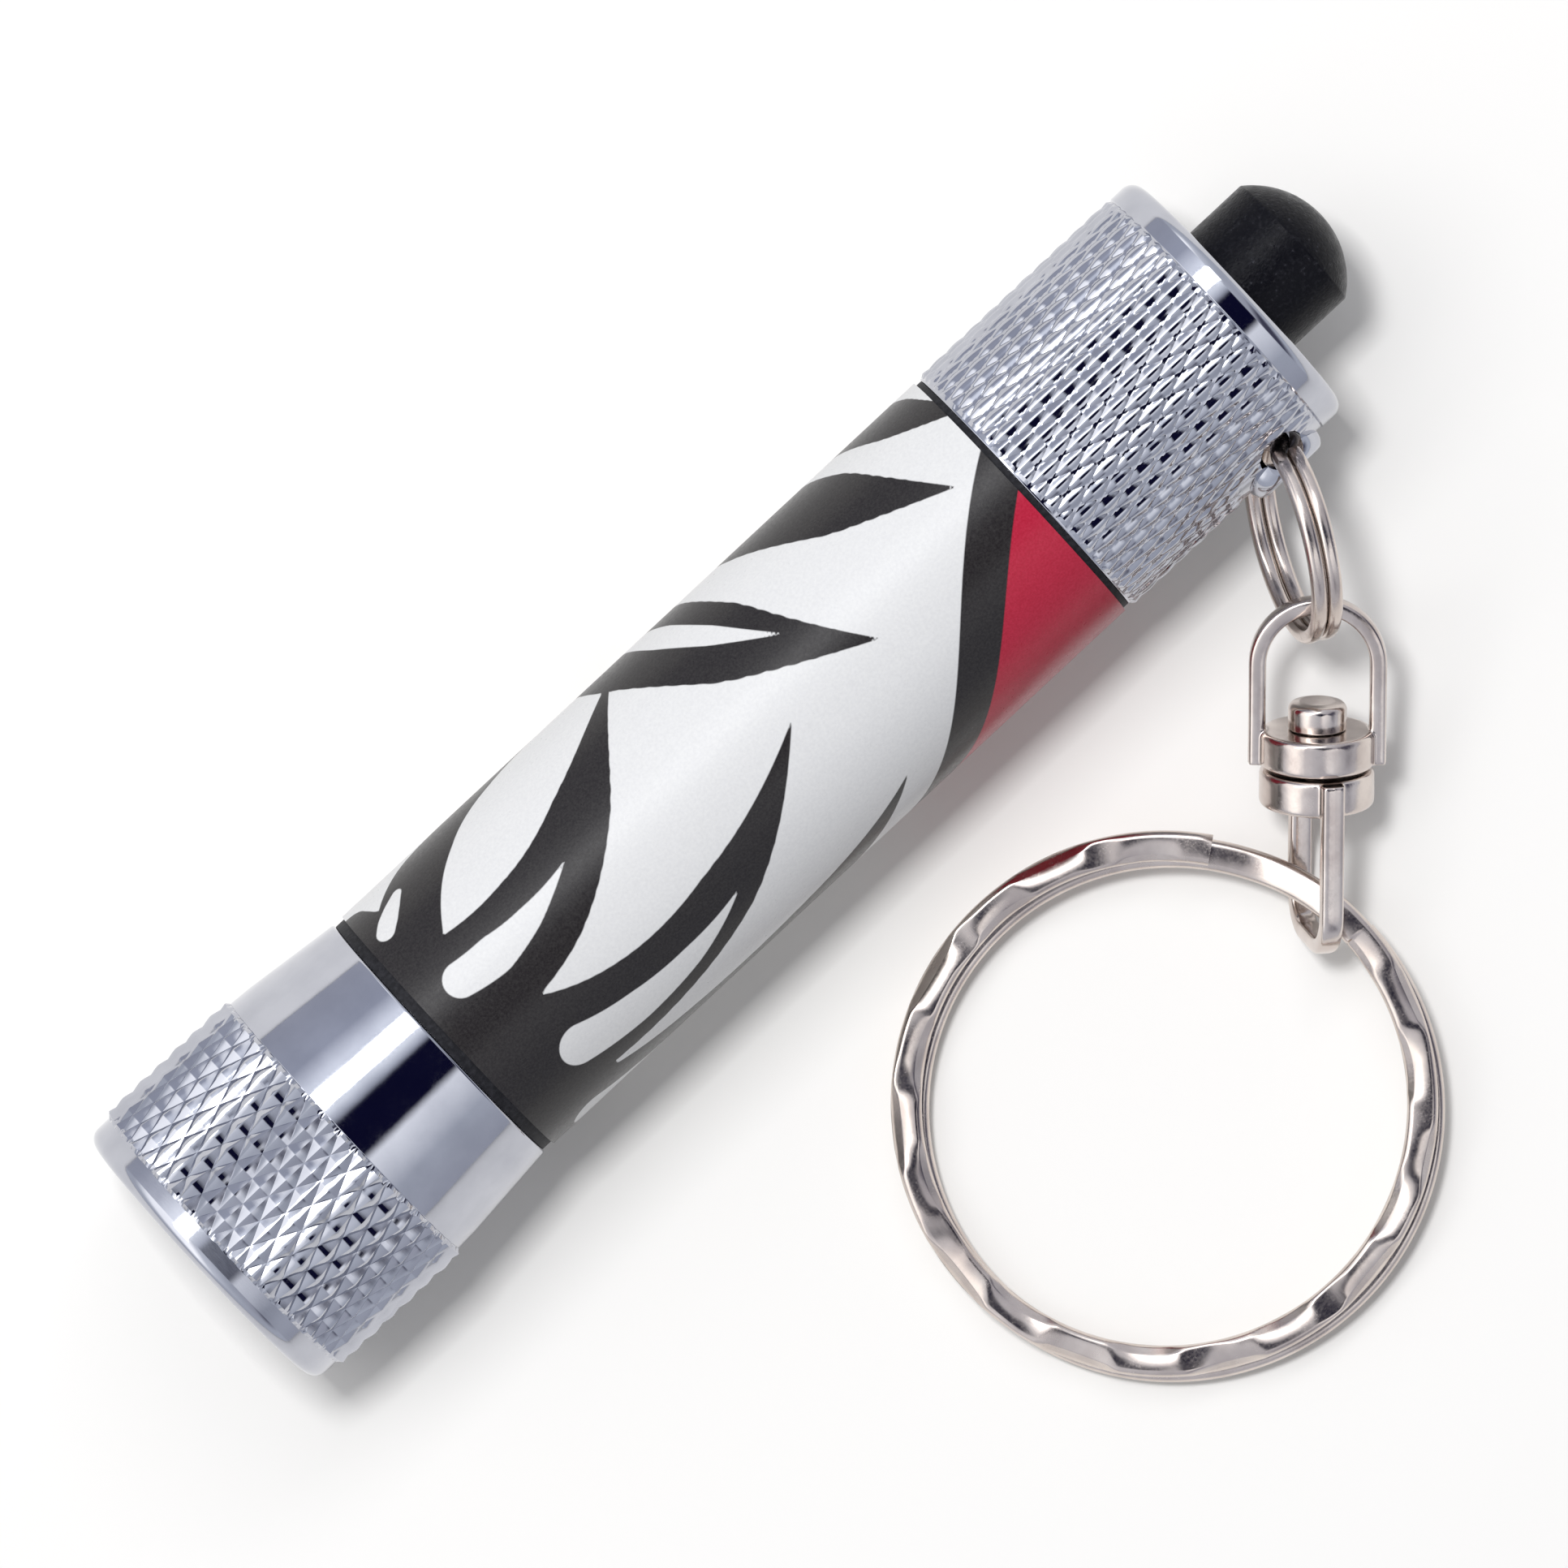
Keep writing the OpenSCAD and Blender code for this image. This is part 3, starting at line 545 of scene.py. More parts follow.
film_columns, film_rows = 296, 240
film_outline = [(film_low.x + film_length * i / film_rows, film_radius) for i in range(film_rows + 1)]
film_outline += [(film_high.x, film_radius - 0.1), (film_low.x, film_radius - 0.1)]
film = turned("printed_film", film_outline, columns=film_columns)
co = np.array([v.co for v in film.data.vertices]) / MM
angle = np.arctan2(co[:, 1], co[:, 2])
spots = np.column_stack([co[:, 0], angle * film_radius])
stripe_path = [(5.2, -13.5), (9.2, -9.5), (13.5, -2.5), (20.8, 2.4)]
dark_strokes = [
    brush([(-20.6, -17), (-18.4, -9), (-17.4, -2), (-19.8, 9)], [4.6, 4.3, 3.4, 1.1]),
    brush([(-18, -4), (-12, -7.5), (-5, -6.5), (3.5, -0.5)], [3.4, 2.6, 1.7, 0.03]),
    brush([(-18, 1), (-12.5, 0.2), (-7, 2), (-1.5, 9.8)], [3.0, 2.5, 1.6, 0.03]),
    brush([(-18, -11), (-11, -14.5), (-2, -14), (6, -7.5)], [3.6, 2.9, 1.8, 0.03]),
    brush([(-18, 5), (-15, 10), (-11, 12.5), (-4.5, 12.6)], [1.9, 1.9, 1.3, 0.03]),
    brush([(-2, 18), (-0.6, 10.5), (2.4, 5.4), (9.6, -0.4)], [2.6, 3.3, 2.3, 0.03]),
    brush([(7, 18), (8.4, 11.5), (11.6, 7.2), (17.6, 2.6)], [2.2, 2.8, 2.0, 0.03]),
    brush([(15.2, 18), (15.6, 12.5), (17.0, 9.2), (20.4, 6.0)], [1.8, 2.1, 1.5, 0.3]),
    brush([(-12, 18), (-6, 21), (2, 24), (12, 23)], [0.3, 1.8, 1.4, 0.2]),
    brush(stripe_path, [1.15, 1.15, 1.15, 1.15]),
]
light_drops = [
    brush([(-15.2, -5.6), (-12, -6.8), (-8, -6.9), (-4.2, -5.2)], [1.25, 1.1, 0.7, 0.03]),
    brush([(-17.4, 1.4), (-15.5, 1.0), (-13, 0.9), (-9.6, 2.2)], [0.95, 1.05, 0.65, 0.03]),
    brush([(-17.0, -11.4), (-14.5, -12.6), (-12, -13.2), (-8, -13.3)], [1.3, 1.2, 0.8, 0.03]),
    brush([(-18.6, 6.4), (-18.2, 6.9), (-17.6, 7.5), (-16.9, 8.2)], [0.55, 0.6, 0.5, 0.3]),
    brush([(0.4, 12.2), (1.2, 9.0), (3.2, 6.0), (6.2, 3.2)], [0.75, 0.85, 0.6, 0.03]),
]
dark = np.maximum(inked(spots, dark_strokes), -inked(spots, light_drops))
stripe = brush(stripe_path, [0.0])
side = np.interp(spots[:, 1], stripe[:, 1], stripe[:, 0])
red = np.maximum(np.maximum(side - spots[:, 0], spots[:, 1] - 2.4), -19.5 - spots[:, 1])
for name, values in (("dark_ink", dark), ("red_ink", red)):
    film.data.attributes.new(name, "FLOAT", "POINT").data.foreach_set("value", values)

print_varnish, tree, shader = finish(
    "printed_film", (0.7, 0.7, 0.7), roughness=0.34, Specular_IOR_Level=0.3,
    Coat_Weight=0.06, Coat_Roughness=0.2)
paper = ramp(tree, grain(tree, 0.16, detail=3.0), (0.3, 0.60, 0.60, 0.605), (0.7, 0.65, 0.65, 0.65))
layers = paper
for name, ink, speck in (("red_ink", (0.36, 0.012, 0.035), (0.42, 0.02, 0.05)),
                         ("dark_ink", (0.012, 0.010, 0.011), (0.024, 0.022, 0.022))):
    edge = add(tree, "ShaderNodeAttribute", attribute_name=name).outputs["Fac"]
    share = add(tree, "ShaderNodeMapRange", {0: edge, 1: -0.035, 2: 0.035, 3: 1.0, 4: 0.0}).outputs[0]
    tone = ramp(tree, grain(tree, 0.12, detail=2.0), (0.35, *ink), (0.7, *speck))
    layers = add(tree, "ShaderNodeMix", {0: share, 6: layers, 7: tone}, data_type="RGBA").outputs[2]
tree.links.new(layers, shader.inputs["Base Color"])
varnish = grain(tree, 0.2, detail=4.0)
tree.links.new(spread(tree, varnish, 0.27, 0.38), shader.inputs["Roughness"])
relief(tree, shader, varnish, 0.004)
dressed(film, print_varnish)
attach(film, "torch")
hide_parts("printed_wrap")


# --- Tail cap ---
# The cap is chromed brass with a finer, blunter knurl than the head's. An eye for the key ring is
# drilled through its side in a curve, and the knurl stops round it. A smooth rim ends it.
joint = {j["name"]: j for j in frame["joints"]}


def placed(origin, x_axis, z_axis):
    """Matrix of a local frame with the given origin in m and axes, for meshes made in mm."""
    x, z = Vector(x_axis).normalized(), Vector(z_axis).normalized()
    y = z.cross(x)
    turn = Matrix((x, y, z)).transposed().to_4x4()
    return Matrix.Translation(Vector(origin)) @ turn


up = Vector((0, 0, 1))
small_turn = joint["small_ring_turn"]
small_axis = Vector(small_turn["axis"])
small_frame = placed(small_turn["pos_m"], up.cross(small_axis), small_axis)

tail_low, tail_high = (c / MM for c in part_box("tail_cap"))
tail_front, tail_end, tail_radius = tail_low.x, tail_high.x, tail_high.z
tail_diamonds = 50
tail_rows = 11 * fineness
tail_knurl_front, tail_knurl_rear = tail_front + 0.12, tail_end - 1.62
tail_cut = 0.15
button_hole = 4.0
before_knurl = rounded([
    (tail_front, 7.16, 0.08), (tail_front, tail_radius - tail_cut, 0.05),
    (tail_knurl_front, tail_radius - tail_cut, 0)], closed=False)
after_knurl = rounded([
    (tail_knurl_rear, tail_radius - tail_cut, 0), (tail_knurl_rear + 0.1, tail_radius - 0.06, 0.06),
    (tail_end, tail_radius - 0.06, 1.45), (tail_end, button_hole, 0.12), (28.6, button_hole, 0),
    (28.6, 5.0, 0), (25.3, 5.0, 0), (25.3, 7.16, 0)], closed=False, steps=10)
knurl_rings = [
    (tail_knurl_front + (tail_knurl_rear - tail_knurl_front) * i / tail_rows, tail_radius)
    for i in range(tail_rows + 1)]
first_cut = len(before_knurl)
tail = turned(
    "tail_cap_knurled", before_knurl + knurl_rings + after_knurl, columns=tail_diamonds * 2 * fineness,
    cut_rows=range(first_cut, first_cut + len(knurl_rings)), half_diamond=fineness)
shaped_by(
    tail, knurl, Band_start=tail_knurl_front * MM, Band_end=tail_knurl_rear * MM,
    Diamond_length=2 * fineness * (tail_knurl_rear - tail_knurl_front) / tail_rows * MM,
    Diamonds_round=float(tail_diamonds), Cut_depth=tail_cut * MM, Flat_top=0.1, Pillow=0.9, Run_out=0.12 * MM,
    Pad_start=27.6 * MM, Pad_half_width=3.1 * MM, Pad_edge=0.35 * MM, Pad_depth=0.1 * MM, Finish=chrome)
dressed(tail, sharp=30)


def carve(piece, tool, operation):
    """Joins a tool shape to a piece, or cuts it away, and deletes the tool."""
    modifier = piece.modifiers.new("carve", "BOOLEAN")
    modifier.operation = operation
    modifier.solver = "MANIFOLD"
    modifier.object = tool
    depsgraph = bpy.context.evaluated_depsgraph_get()
    mesh = bpy.data.meshes.new_from_object(piece.evaluated_get(depsgraph))
    piece.modifiers.clear()
    piece.data = mesh
    bpy.data.objects.remove(tool)


def ring_about_z(name, r, half_width, half_height, columns=160, sides=32):
    """A plain ring about its own Z axis, in mm."""
    vertices = [
        ((r + half_width * math.cos(b)) * math.cos(a), (r + half_width * math.cos(b)) * math.sin(a),
         half_height * math.sin(b))
        for a in (2 * math.pi * i / columns for i in range(columns))
        for b in (2 * math.pi * j / sides for j in range(sides))]
    faces = [
        (i * sides + j, (i + 1) % columns * sides + j, (i + 1) % columns * sides + (j + 1) % sides,
         i * sides + (j + 1) % sides)
        for i in range(columns) for j in range(sides)]
    return piece_of(name, vertices, faces)


boss_along, boss_across, boss_corner = 2.05, 2.2, 1.8
boss_outline = rounded([
    (x * boss_along, z * boss_across, boss_corner) for x, z in ((-1, -1), (1, -1), (1, 1), (-1, 1))], steps=12)
eye_x = tail_end - 4.2
layers = [(5.2, 1.12), (tail_radius - 0.25, 1.12)]
layers += [
    (tail_radius - 0.25 + 0.85 * math.sin(a), 0.86 + 0.26 * math.cos(a))
    for a in (math.pi / 2 * k / 8 for k in range(1, 9))]
vertices = [(eye_x + x * grow, -r, z * grow) for r, grow in layers for x, z in boss_outline]
n = len(boss_outline)
faces = [
    (i * n + j, i * n + (j + 1) % n, (i + 1) * n + (j + 1) % n, (i + 1) * n + j)
    for i in range(len(layers) - 1) for j in range(n)]
faces += [tuple(range(n)), tuple(range((len(layers) - 1) * n, len(layers) * n))]
boss = dressed(piece_of("eye_boss", vertices, faces))
carve(tail, boss, "UNION")

ring_radius = 5.05
passage_radius = 1.15
flare_radius = 1.5
passage = dressed(ring_about_z("eye_passage", ring_radius, passage_radius, passage_radius))
passage.data.transform(small_frame @ Matrix.Scale(1, 4))
carve(tail, passage, "DIFFERENCE")
for side in (-1, 1):
    mouth = math.radians(41)
    flare = bpy.data.meshes.new("eye_flare")
    work = bmesh.new()
    bmesh.ops.create_icosphere(work, subdivisions=4, radius=flare_radius * MM)
    work.to_mesh(flare)
    work.free()
    flare.transform(Matrix.Translation(
        Vector((-ring_radius * math.cos(mouth), side * ring_radius * math.sin(mouth), 0)) * MM))
    flare.transform(small_frame)
    ball = bpy.data.objects.new("eye_flare", flare)
    bpy.context.scene.collection.objects.link(ball)
    carve(tail, ball, "DIFFERENCE")
dressed(tail, chrome, sharp=30)
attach(tail, "torch")
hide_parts("tail_cap")


# --- Push button ---
# A cap of black silicone rubber, moulded with a domed top and a flange that keeps it in. Its skin
# is satin with a fine grain and a few pale specks of dust.
button_low, button_high = (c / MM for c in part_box("push_button"))
button_top = button_high.x
dome_height, button_radius = 2.0, 3.9
dome_radius = (button_radius ** 2 + dome_height ** 2) / (2 * dome_height)
dome = [
    (button_top - dome_radius + dome_radius * math.cos(a), dome_radius * math.sin(a))
    for a in (math.asin(button_radius / dome_radius) * i / 14 for i in range(15))]
dome = dome[:-1] + rounded([
    (*dome[-2], 0), (button_top - dome_height, button_radius, 0.16), (button_low.x + 3, button_radius, 0)],
    closed=False)[1:-1]
skirt = rounded([
    (button_low.x + 3, button_radius, 0), (button_low.x + 0.8, button_radius, 0),
    (button_low.x + 0.8, 4.8, 0.15), (button_low.x, 4.8, 0.15), (button_low.x, 2.9, 0.1),
    (button_top - 2.2, 2.9, 0.3), (button_top - 2.2, 0, 0)], closed=False)
button = turned("rubber_button", dome + skirt, columns=128, closed=False)
rubber, tree, shader = finish("button_rubber", (0.006, 0.006, 0.008), roughness=0.28, Specular_IOR_Level=0.1)
skin = calc(tree, "ADD", grain(tree, 0.16, detail=4.0),
            calc(tree, "MULTIPLY", grain(tree, 0.9, detail=3.0), 0.8))
tree.links.new(ramp(tree, grain(tree, 0.22, detail=5.0), (0.5, 0.004, 0.004, 0.006),
                    (0.66, 0.010, 0.010, 0.013), (0.76, 0.05, 0.05, 0.06)), shader.inputs["Base Color"])
tree.links.new(spread(tree, grain(tree, 0.5, detail=4.0), 0.22, 0.42), shader.inputs["Roughness"])
relief(tree, shader, skin, 0.03)
dressed(button, rubber)
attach(button, "button")
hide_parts("push_button")


# --- Split rings ---
# Each ring is two turns of flattened wire, nickel plated. The wire drops from the top coil to the
# lower one beside its own end. The large ring's wire is hammered to small flats all round.
winding, given, result = geometry_tree(
    "split_ring_winding", Ring_radius=("Float", 0.0), Wire_width=("Float", 0.0), Wire_height=("Float", 0.0),
    Corner=("Float", 0.0), Coil_level=("Float", 0.0), Split_angle=("Float", 0.0), Ramp_start=("Float", 0.0),
    Ramp_end=("Float", 0.0), Total_turn=("Float", 0.0), Shift_x=("Float", 0.0), Shift_y=("Float", 0.0),
    Steps=("Int", 400), Flats=("Float", 0.0), Flat_depth=("Float", 0.0), Flat_hollow=("Float", 0.0),
    Last_flat=("Float", 0.0), Flat_seed=("Float", 0.0), Finish=("Material", None))
line = add(winding, "GeometryNodeCurvePrimitiveLine")
fine_line = add(winding, "GeometryNodeResampleCurve", {"Curve": line.outputs[0], "Count": given["Steps"]})
travel = add(winding, "GeometryNodeSplineParameter").outputs["Factor"]
wound = calc(winding, "MULTIPLY", travel, given["Total_turn"])
drop = add(winding, "ShaderNodeMapRange", {
    0: wound, 1: given["Ramp_start"], 2: given["Ramp_end"], 3: 0.0, 4: 1.0},
    interpolation_type="SMOOTHSTEP").outputs[0]
kept = add(winding, "GeometryNodeStoreNamedAttribute", {
    "Geometry": fine_line.outputs[0], "Name": "wound", "Value": wound}, data_type="FLOAT", domain="POINT")
kept = add(winding, "GeometryNodeStoreNamedAttribute", {
    "Geometry": kept.outputs[0], "Name": "drop", "Value": drop}, data_type="FLOAT", domain="POINT")


def wire_centre(wound, drop):
    """Sockets for the middle of the wire, and the cosine and sine of its place on the ring."""
    at = calc(winding, "ADD", wound, given["Split_angle"])
    cosine, sine = calc(winding, "COSINE", at), calc(winding, "SINE", at)
    x = calc(winding, "MULTIPLY_ADD", cosine, given["Ring_radius"],
             calc(winding, "MULTIPLY", drop, given["Shift_x"]))
    y = calc(winding, "MULTIPLY_ADD", sine, given["Ring_radius"],
             calc(winding, "MULTIPLY", drop, given["Shift_y"]))
    share = calc(winding, "MULTIPLY_ADD", drop, -2.0, 1.0)
    return x, y, calc(winding, "MULTIPLY", share, given["Coil_level"]), cosine, sine


x, y, z, cosine, sine = wire_centre(wound, drop)
bent = add(winding, "GeometryNodeSetPosition", {
    "Geometry": kept.outputs[0],
        "Position": add(winding, "ShaderNodeCombineXYZ", {0: x, 1: y, 2: z}).outputs[0]})
upright = add(winding, "GeometryNodeSetCurveNormal", {0: bent.outputs[0]}, mode="Z_UP")
section = add(winding, "GeometryNodeCurvePrimitiveQuadrilateral", {
    "Width": given["Wire_width"], "Height": given["Wire_height"]})
section = add(winding, "GeometryNodeFilletCurve", {
    "Curve": section.outputs[0], "Radius": given["Corner"], "Count": 5}, mode="POLY")
wire = add(winding, "GeometryNodeCurveToMesh", {
    "Curve": upright.outputs[0], "Profile Curve": section.outputs[0], "Fill Caps": True})
wound = add(winding, "GeometryNodeInputNamedAttribute", {0: "wound"}, data_type="FLOAT").outputs[0]
drop = add(winding, "GeometryNodeInputNamedAttribute", {0: "drop"}, data_type="FLOAT").outputs[0]
x, y, z, cosine, sine = wire_centre(wound, drop)
spot = add(winding, "ShaderNodeSeparateXYZ", {
    0: add(winding, "GeometryNodeInputPosition").outputs[0]}).outputs
out = calc(winding, "ADD", calc(winding, "MULTIPLY", calc(winding, "SUBTRACT", spot["X"], x), cosine),
           calc(winding, "MULTIPLY", calc(winding, "SUBTRACT", spot["Y"], y), sine))
rise = calc(winding, "SUBTRACT", spot["Z"], z)
shape = wire.outputs[0]
for side, lean, phase in ((1, 48, 0.0), (-1, 52, 0.5), (0, 90, 0.23)):
    beat = calc(winding, "ADD", calc(winding, "MULTIPLY", wound, given["Flats"]), phase)
    number = calc(winding, "ROUND", beat)
    chance = add(winding, "ShaderNodeTexWhiteNoise", {
        "W": calc(winding, "ADD", calc(winding, "MULTIPLY_ADD", number, 7.31, phase), given["Flat_seed"])},
        noise_dimensions="1D").outputs
    wander = calc(winding, "MULTIPLY", calc(winding, "SUBTRACT", chance["Value"], 0.5), 0.3)
    offset = calc(winding, "DIVIDE",
                  calc(winding, "SUBTRACT", calc(winding, "SUBTRACT", beat, number), wander),
                  given["Flats"])
    offset = calc(winding, "MULTIPLY", offset, given["Ring_radius"])
    nx, nz = side * math.cos(math.radians(lean)), math.sin(math.radians(lean))
    height = calc(winding, "MULTIPLY_ADD", out, nx, calc(winding, "MULTIPLY", rise, nz))
    corner = calc(winding, "MULTIPLY_ADD", given["Wire_width"], abs(nx) / 2,
                  calc(winding, "MULTIPLY", given["Wire_height"], nz / 2))
    corner = calc(winding, "SUBTRACT", corner, calc(winding, "MULTIPLY", given["Corner"], abs(nx) + nz - 1))
    depth = calc(winding, "MULTIPLY", given["Flat_depth"],
                 calc(winding, "MULTIPLY_ADD", chance["Value"], 0.7, 0.65))
    depth = calc(winding, "MULTIPLY", depth, 0.35 if side == 0 else 1.0)
    limit = calc(winding, "MULTIPLY_ADD", calc(winding, "MULTIPLY", offset, offset), given["Flat_hollow"],
                 calc(winding, "SUBTRACT", corner, depth))
    excess = calc(winding, "SMOOTH_MAX", calc(winding, "SUBTRACT", height, limit), 0.0, 0.1 * MM)
    excess = calc(winding, "MULTIPLY", excess, calc(winding, "LESS_THAN", wound, given["Last_flat"]))
    push = add(winding, "ShaderNodeCombineXYZ", {
        0: calc(winding, "MULTIPLY", calc(winding, "MULTIPLY", excess, -nx), cosine),
        1: calc(winding, "MULTIPLY", calc(winding, "MULTIPLY", excess, -nx), sine),
        2: calc(winding, "MULTIPLY", excess, -nz)})
    shape = add(winding, "GeometryNodeSetPosition", {"Geometry": shape, "Offset": push.outputs[0]}).outputs[0]
end_tree(winding, shape, given["Finish"], result)


def wound_ring(name, body, node, frame_of_ring, material, sharp=28, **values):
    """Winds a split ring in its own frame, puts it in place and rides it on its body."""
    ring = shaped_by(piece_of(name, [(0, 0, 0)], []), winding, Finish=material, **values)
    ring.data.transform(frame_of_ring)
    work = bmesh.new()
    work.from_mesh(ring.data)
    bmesh.ops.remove_doubles(work, verts=work.verts, dist=0.002 * MM)
    work.to_mesh(ring.data)
    work.free()
    dressed(ring, sharp=sharp)
    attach(ring, body)
    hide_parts(node)
    return ring


nickel = plated("ring_nickel", (0.72, 0.64, 0.585), (0.55, 0.475, 0.435), 0.18, 0.30, wave=0.008)
ramp_small = math.radians(24)
wound_ring(
    "small_split_ring_wire", "small_ring", "small_split_ring", small_frame, nickel,
    Ring_radius=ring_radius * MM, Wire_width=0.8 * MM, Wire_height=0.77 * MM, Corner=0.3 * MM,
    Coil_level=0.41 * MM, Split_angle=math.radians(168), Total_turn=4 * math.pi - ramp_small,
    Ramp_start=2 * math.pi - ramp_small, Ramp_end=2 * math.pi, Steps=420, Flats=1.0)

large_swing = joint["key_ring_swing"]
large_axis = Vector(large_swing["axis"])
large_away = -(up - large_axis * up.dot(large_axis))
large_radius = 13.2
large_frame = placed(large_swing["pos_m"], large_away, large_axis) @ Matrix.Translation(
    Vector((large_radius * MM, 0, 0)))
swivel_spin = joint["swivel_spin"]
swivel_side = Vector(joint["bail_swing"]["axis"]).cross(Vector(swivel_spin["axis"]))
coil_shift = Matrix.Rotation(math.radians(-45), 3, large_axis) @ swivel_side * 0.5 * MM
shift = large_frame.to_3x3().inverted() @ coil_shift
ramp_large = math.radians(37)
wound_ring(
    "large_split_ring_wire", "key_ring", "large_split_ring", large_frame, nickel, sharp=55,
    Ring_radius=large_radius * MM, Wire_width=1.6 * MM, Wire_height=1.1 * MM, Corner=0.38 * MM,
    Coil_level=0.58 * MM, Split_angle=math.radians(205.3), Total_turn=4 * math.pi - ramp_large,
    Ramp_start=2 * math.pi - ramp_large + 0.05, Ramp_end=2 * math.pi - 0.1, Shift_x=shift.x, Shift_y=shift.y,
    Steps=1500, Flats=19.0 / (2 * math.pi - ramp_large) / 2, Flat_depth=0.3 * MM, Flat_hollow=0.07 / MM,
    Last_flat=2 * math.pi - ramp_large - 0.02, Flat_seed=4.0)


# --- Swivel: upper loop, lower loop and rivet ---
# Two zinc castings, each a strip bent to a loop with a round collar at its open end, nickel
# plated. A rivet with a domed head goes through both collars and lets one turn in the other.
swivel_origin = joint["bail_swing"]["pos_m"]
swivel_frame = placed(swivel_origin, swivel_spin["axis"], joint["bail_swing"]["axis"])
inward = swivel_frame.inverted()


def local_span(node):
    """How far a CAD node reaches along the swivel's axis, from and to, in mm."""
    place = [(inward @ v.co).x / MM for v in frame["nodes"][node].data.vertices]
    return min(place), max(place)


loop_half, strip, strip_width, collar_height = 3.525, 0.9, 1.2, 1.9
collar_radius = 2.95


def strip_path(near, far, corner):
    """Middle line of a loop's strip: up one leg, round the closed end at far, and back."""
    sign = 1 if far > near else -1
    middle = loop_half - strip / 2
    bend = corner - strip / 2
    points = [(near, middle), (near + (far - sign * corner - near) * 0.5, middle)]
    for k in range(17):
        a = math.pi / 2 * k / 16
        points.append((far - sign * corner + sign * bend * math.sin(a), middle - bend + bend * math.cos(a)))
    return points + [(x, -y) for x, y in reversed(points)]


def swept_strip(path, sides=20):
    """Vertices and faces of the rounded strip along a flat path, closed at both ends."""
    section = [(strip / 2 * math.copysign(abs(math.cos(a)) ** 0.5, math.cos(a)),
                strip_width / 2 * math.copysign(abs(math.sin(a)) ** 0.5, math.sin(a)))
               for a in (2 * math.pi * i / sides for i in range(sides))]
    vertices, faces = [], []
    last = len(path) - 1
    for i, (x, y) in enumerate(path):
        before, after = Vector(path[max(i - 1, 0)]), Vector(path[min(i + 1, last)])
        way = (after - before).normalized()
        for across, height in section:
            vertices.append((x - way.y * across, y + way.x * across, height))
    for i in range(last):
        for j in range(sides):
            k = (j + 1) % sides
            faces.append((i * sides + j, (i + 1) * sides + j, (i + 1) * sides + k, i * sides + k))
    faces += [tuple(range(sides)), tuple(range(last * sides, last * sides + sides))]
    return vertices, faces


rivet_hole = 1.06  # radius
collar_edge = 0.28


def casting(name, path, collar_from, body, node, roll, material):
    """A loop with its collar, run together as a casting's are, in the swivel's frame."""
    vertices, faces = swept_strip(path)
    loop = dressed(piece_of(name, vertices, faces))
    a, b = collar_from, collar_from + collar_height
    band = dressed(turned("collar", rounded([
        (a, rivet_hole, 0.1), (a, collar_radius, collar_edge), (b, collar_radius, collar_edge),
        (b, rivet_hole, 0.1)]), columns=96))
    loop.data.materials.clear()
    carve(loop, band, "UNION")
    melt = loop.modifiers.new("melt", "REMESH")
    melt.mode = "VOXEL"
    melt.voxel_size = 0.075 * MM
    soften = loop.modifiers.new("soften", "SMOOTH")
    soften.factor = 0.5
    soften.iterations = 7
    depsgraph = bpy.context.evaluated_depsgraph_get()
    mesh = bpy.data.meshes.new_from_object(loop.evaluated_get(depsgraph))
    loop.modifiers.clear()
    loop.data = mesh
    mesh.transform(Matrix.Rotation(math.radians(roll), 4, "X"))
    mesh.transform(swivel_frame)
    dressed(loop, material, sharp=180)
    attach(loop, body)
    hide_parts(node)


clevis_half_width = 2.4
clevis_turn = 76.6  # degrees about the rivet
cast_nickel = plated("swivel_nickel", (0.70, 0.63, 0.585), (0.50, 0.43, 0.40), 0.14, 0.28, wave=0.03)
bail_near, bail_far = local_span("bail")
casting("bail_casting", strip_path(bail_far - 0.1, bail_near, loop_half - 0.01), bail_far - collar_height,
        "swivel_top", "bail", 0, cast_nickel)
clevis_near, clevis_far = local_span("clevis")
casting("clevis_casting", strip_path(clevis_near + 0.1, clevis_far, clevis_half_width), clevis_near,
        "swivel_bottom", "clevis", clevis_turn, cast_nickel)

rivet_near, rivet_far = local_span("rivet")
rivet = turned("swivel_rivet", rounded([
    (rivet_near, 0, 0), (rivet_near, 0.9, 0.5), (rivet_near + 0.14, 1.5, 0.4),
    (bail_far - collar_height - 0.05, 1.5, 0.08),
    (bail_far - collar_height - 0.05, 1.0, 0), (clevis_near + collar_height + 0.02, 1.0, 0),
    (clevis_near + collar_height + 0.02, 1.35, 0.05), (rivet_far, 1.15, 0.2), (rivet_far, 0, 0)],
    closed=False, steps=6),
    columns=72, closed=False)
rivet.data.transform(swivel_frame)
dressed(rivet, cast_nickel)
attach(rivet, "swivel_bottom")
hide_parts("rivet")


# --- Lens, reflector and light ---
# A clear moulded lens is held by the head's lip and a rubber ring. Behind it a metallised
# plastic bowl throws the light of a clear 5 mm diode, which stands in a white holder.
clear_plastic, tree, shader = finish(
    "lens_plastic", (0.97, 0.985, 1.0), roughness=0.03, Transmission_Weight=1.0, IOR=1.49)
tree.links.new(spread(tree, grain(tree, 0.6, detail=4.0), 0.015, 0.06), shader.inputs["Roughness"])
relief(tree, shader, grain(tree, 3.0, detail=1.0), 0.006)
coat("lens", clear_plastic)

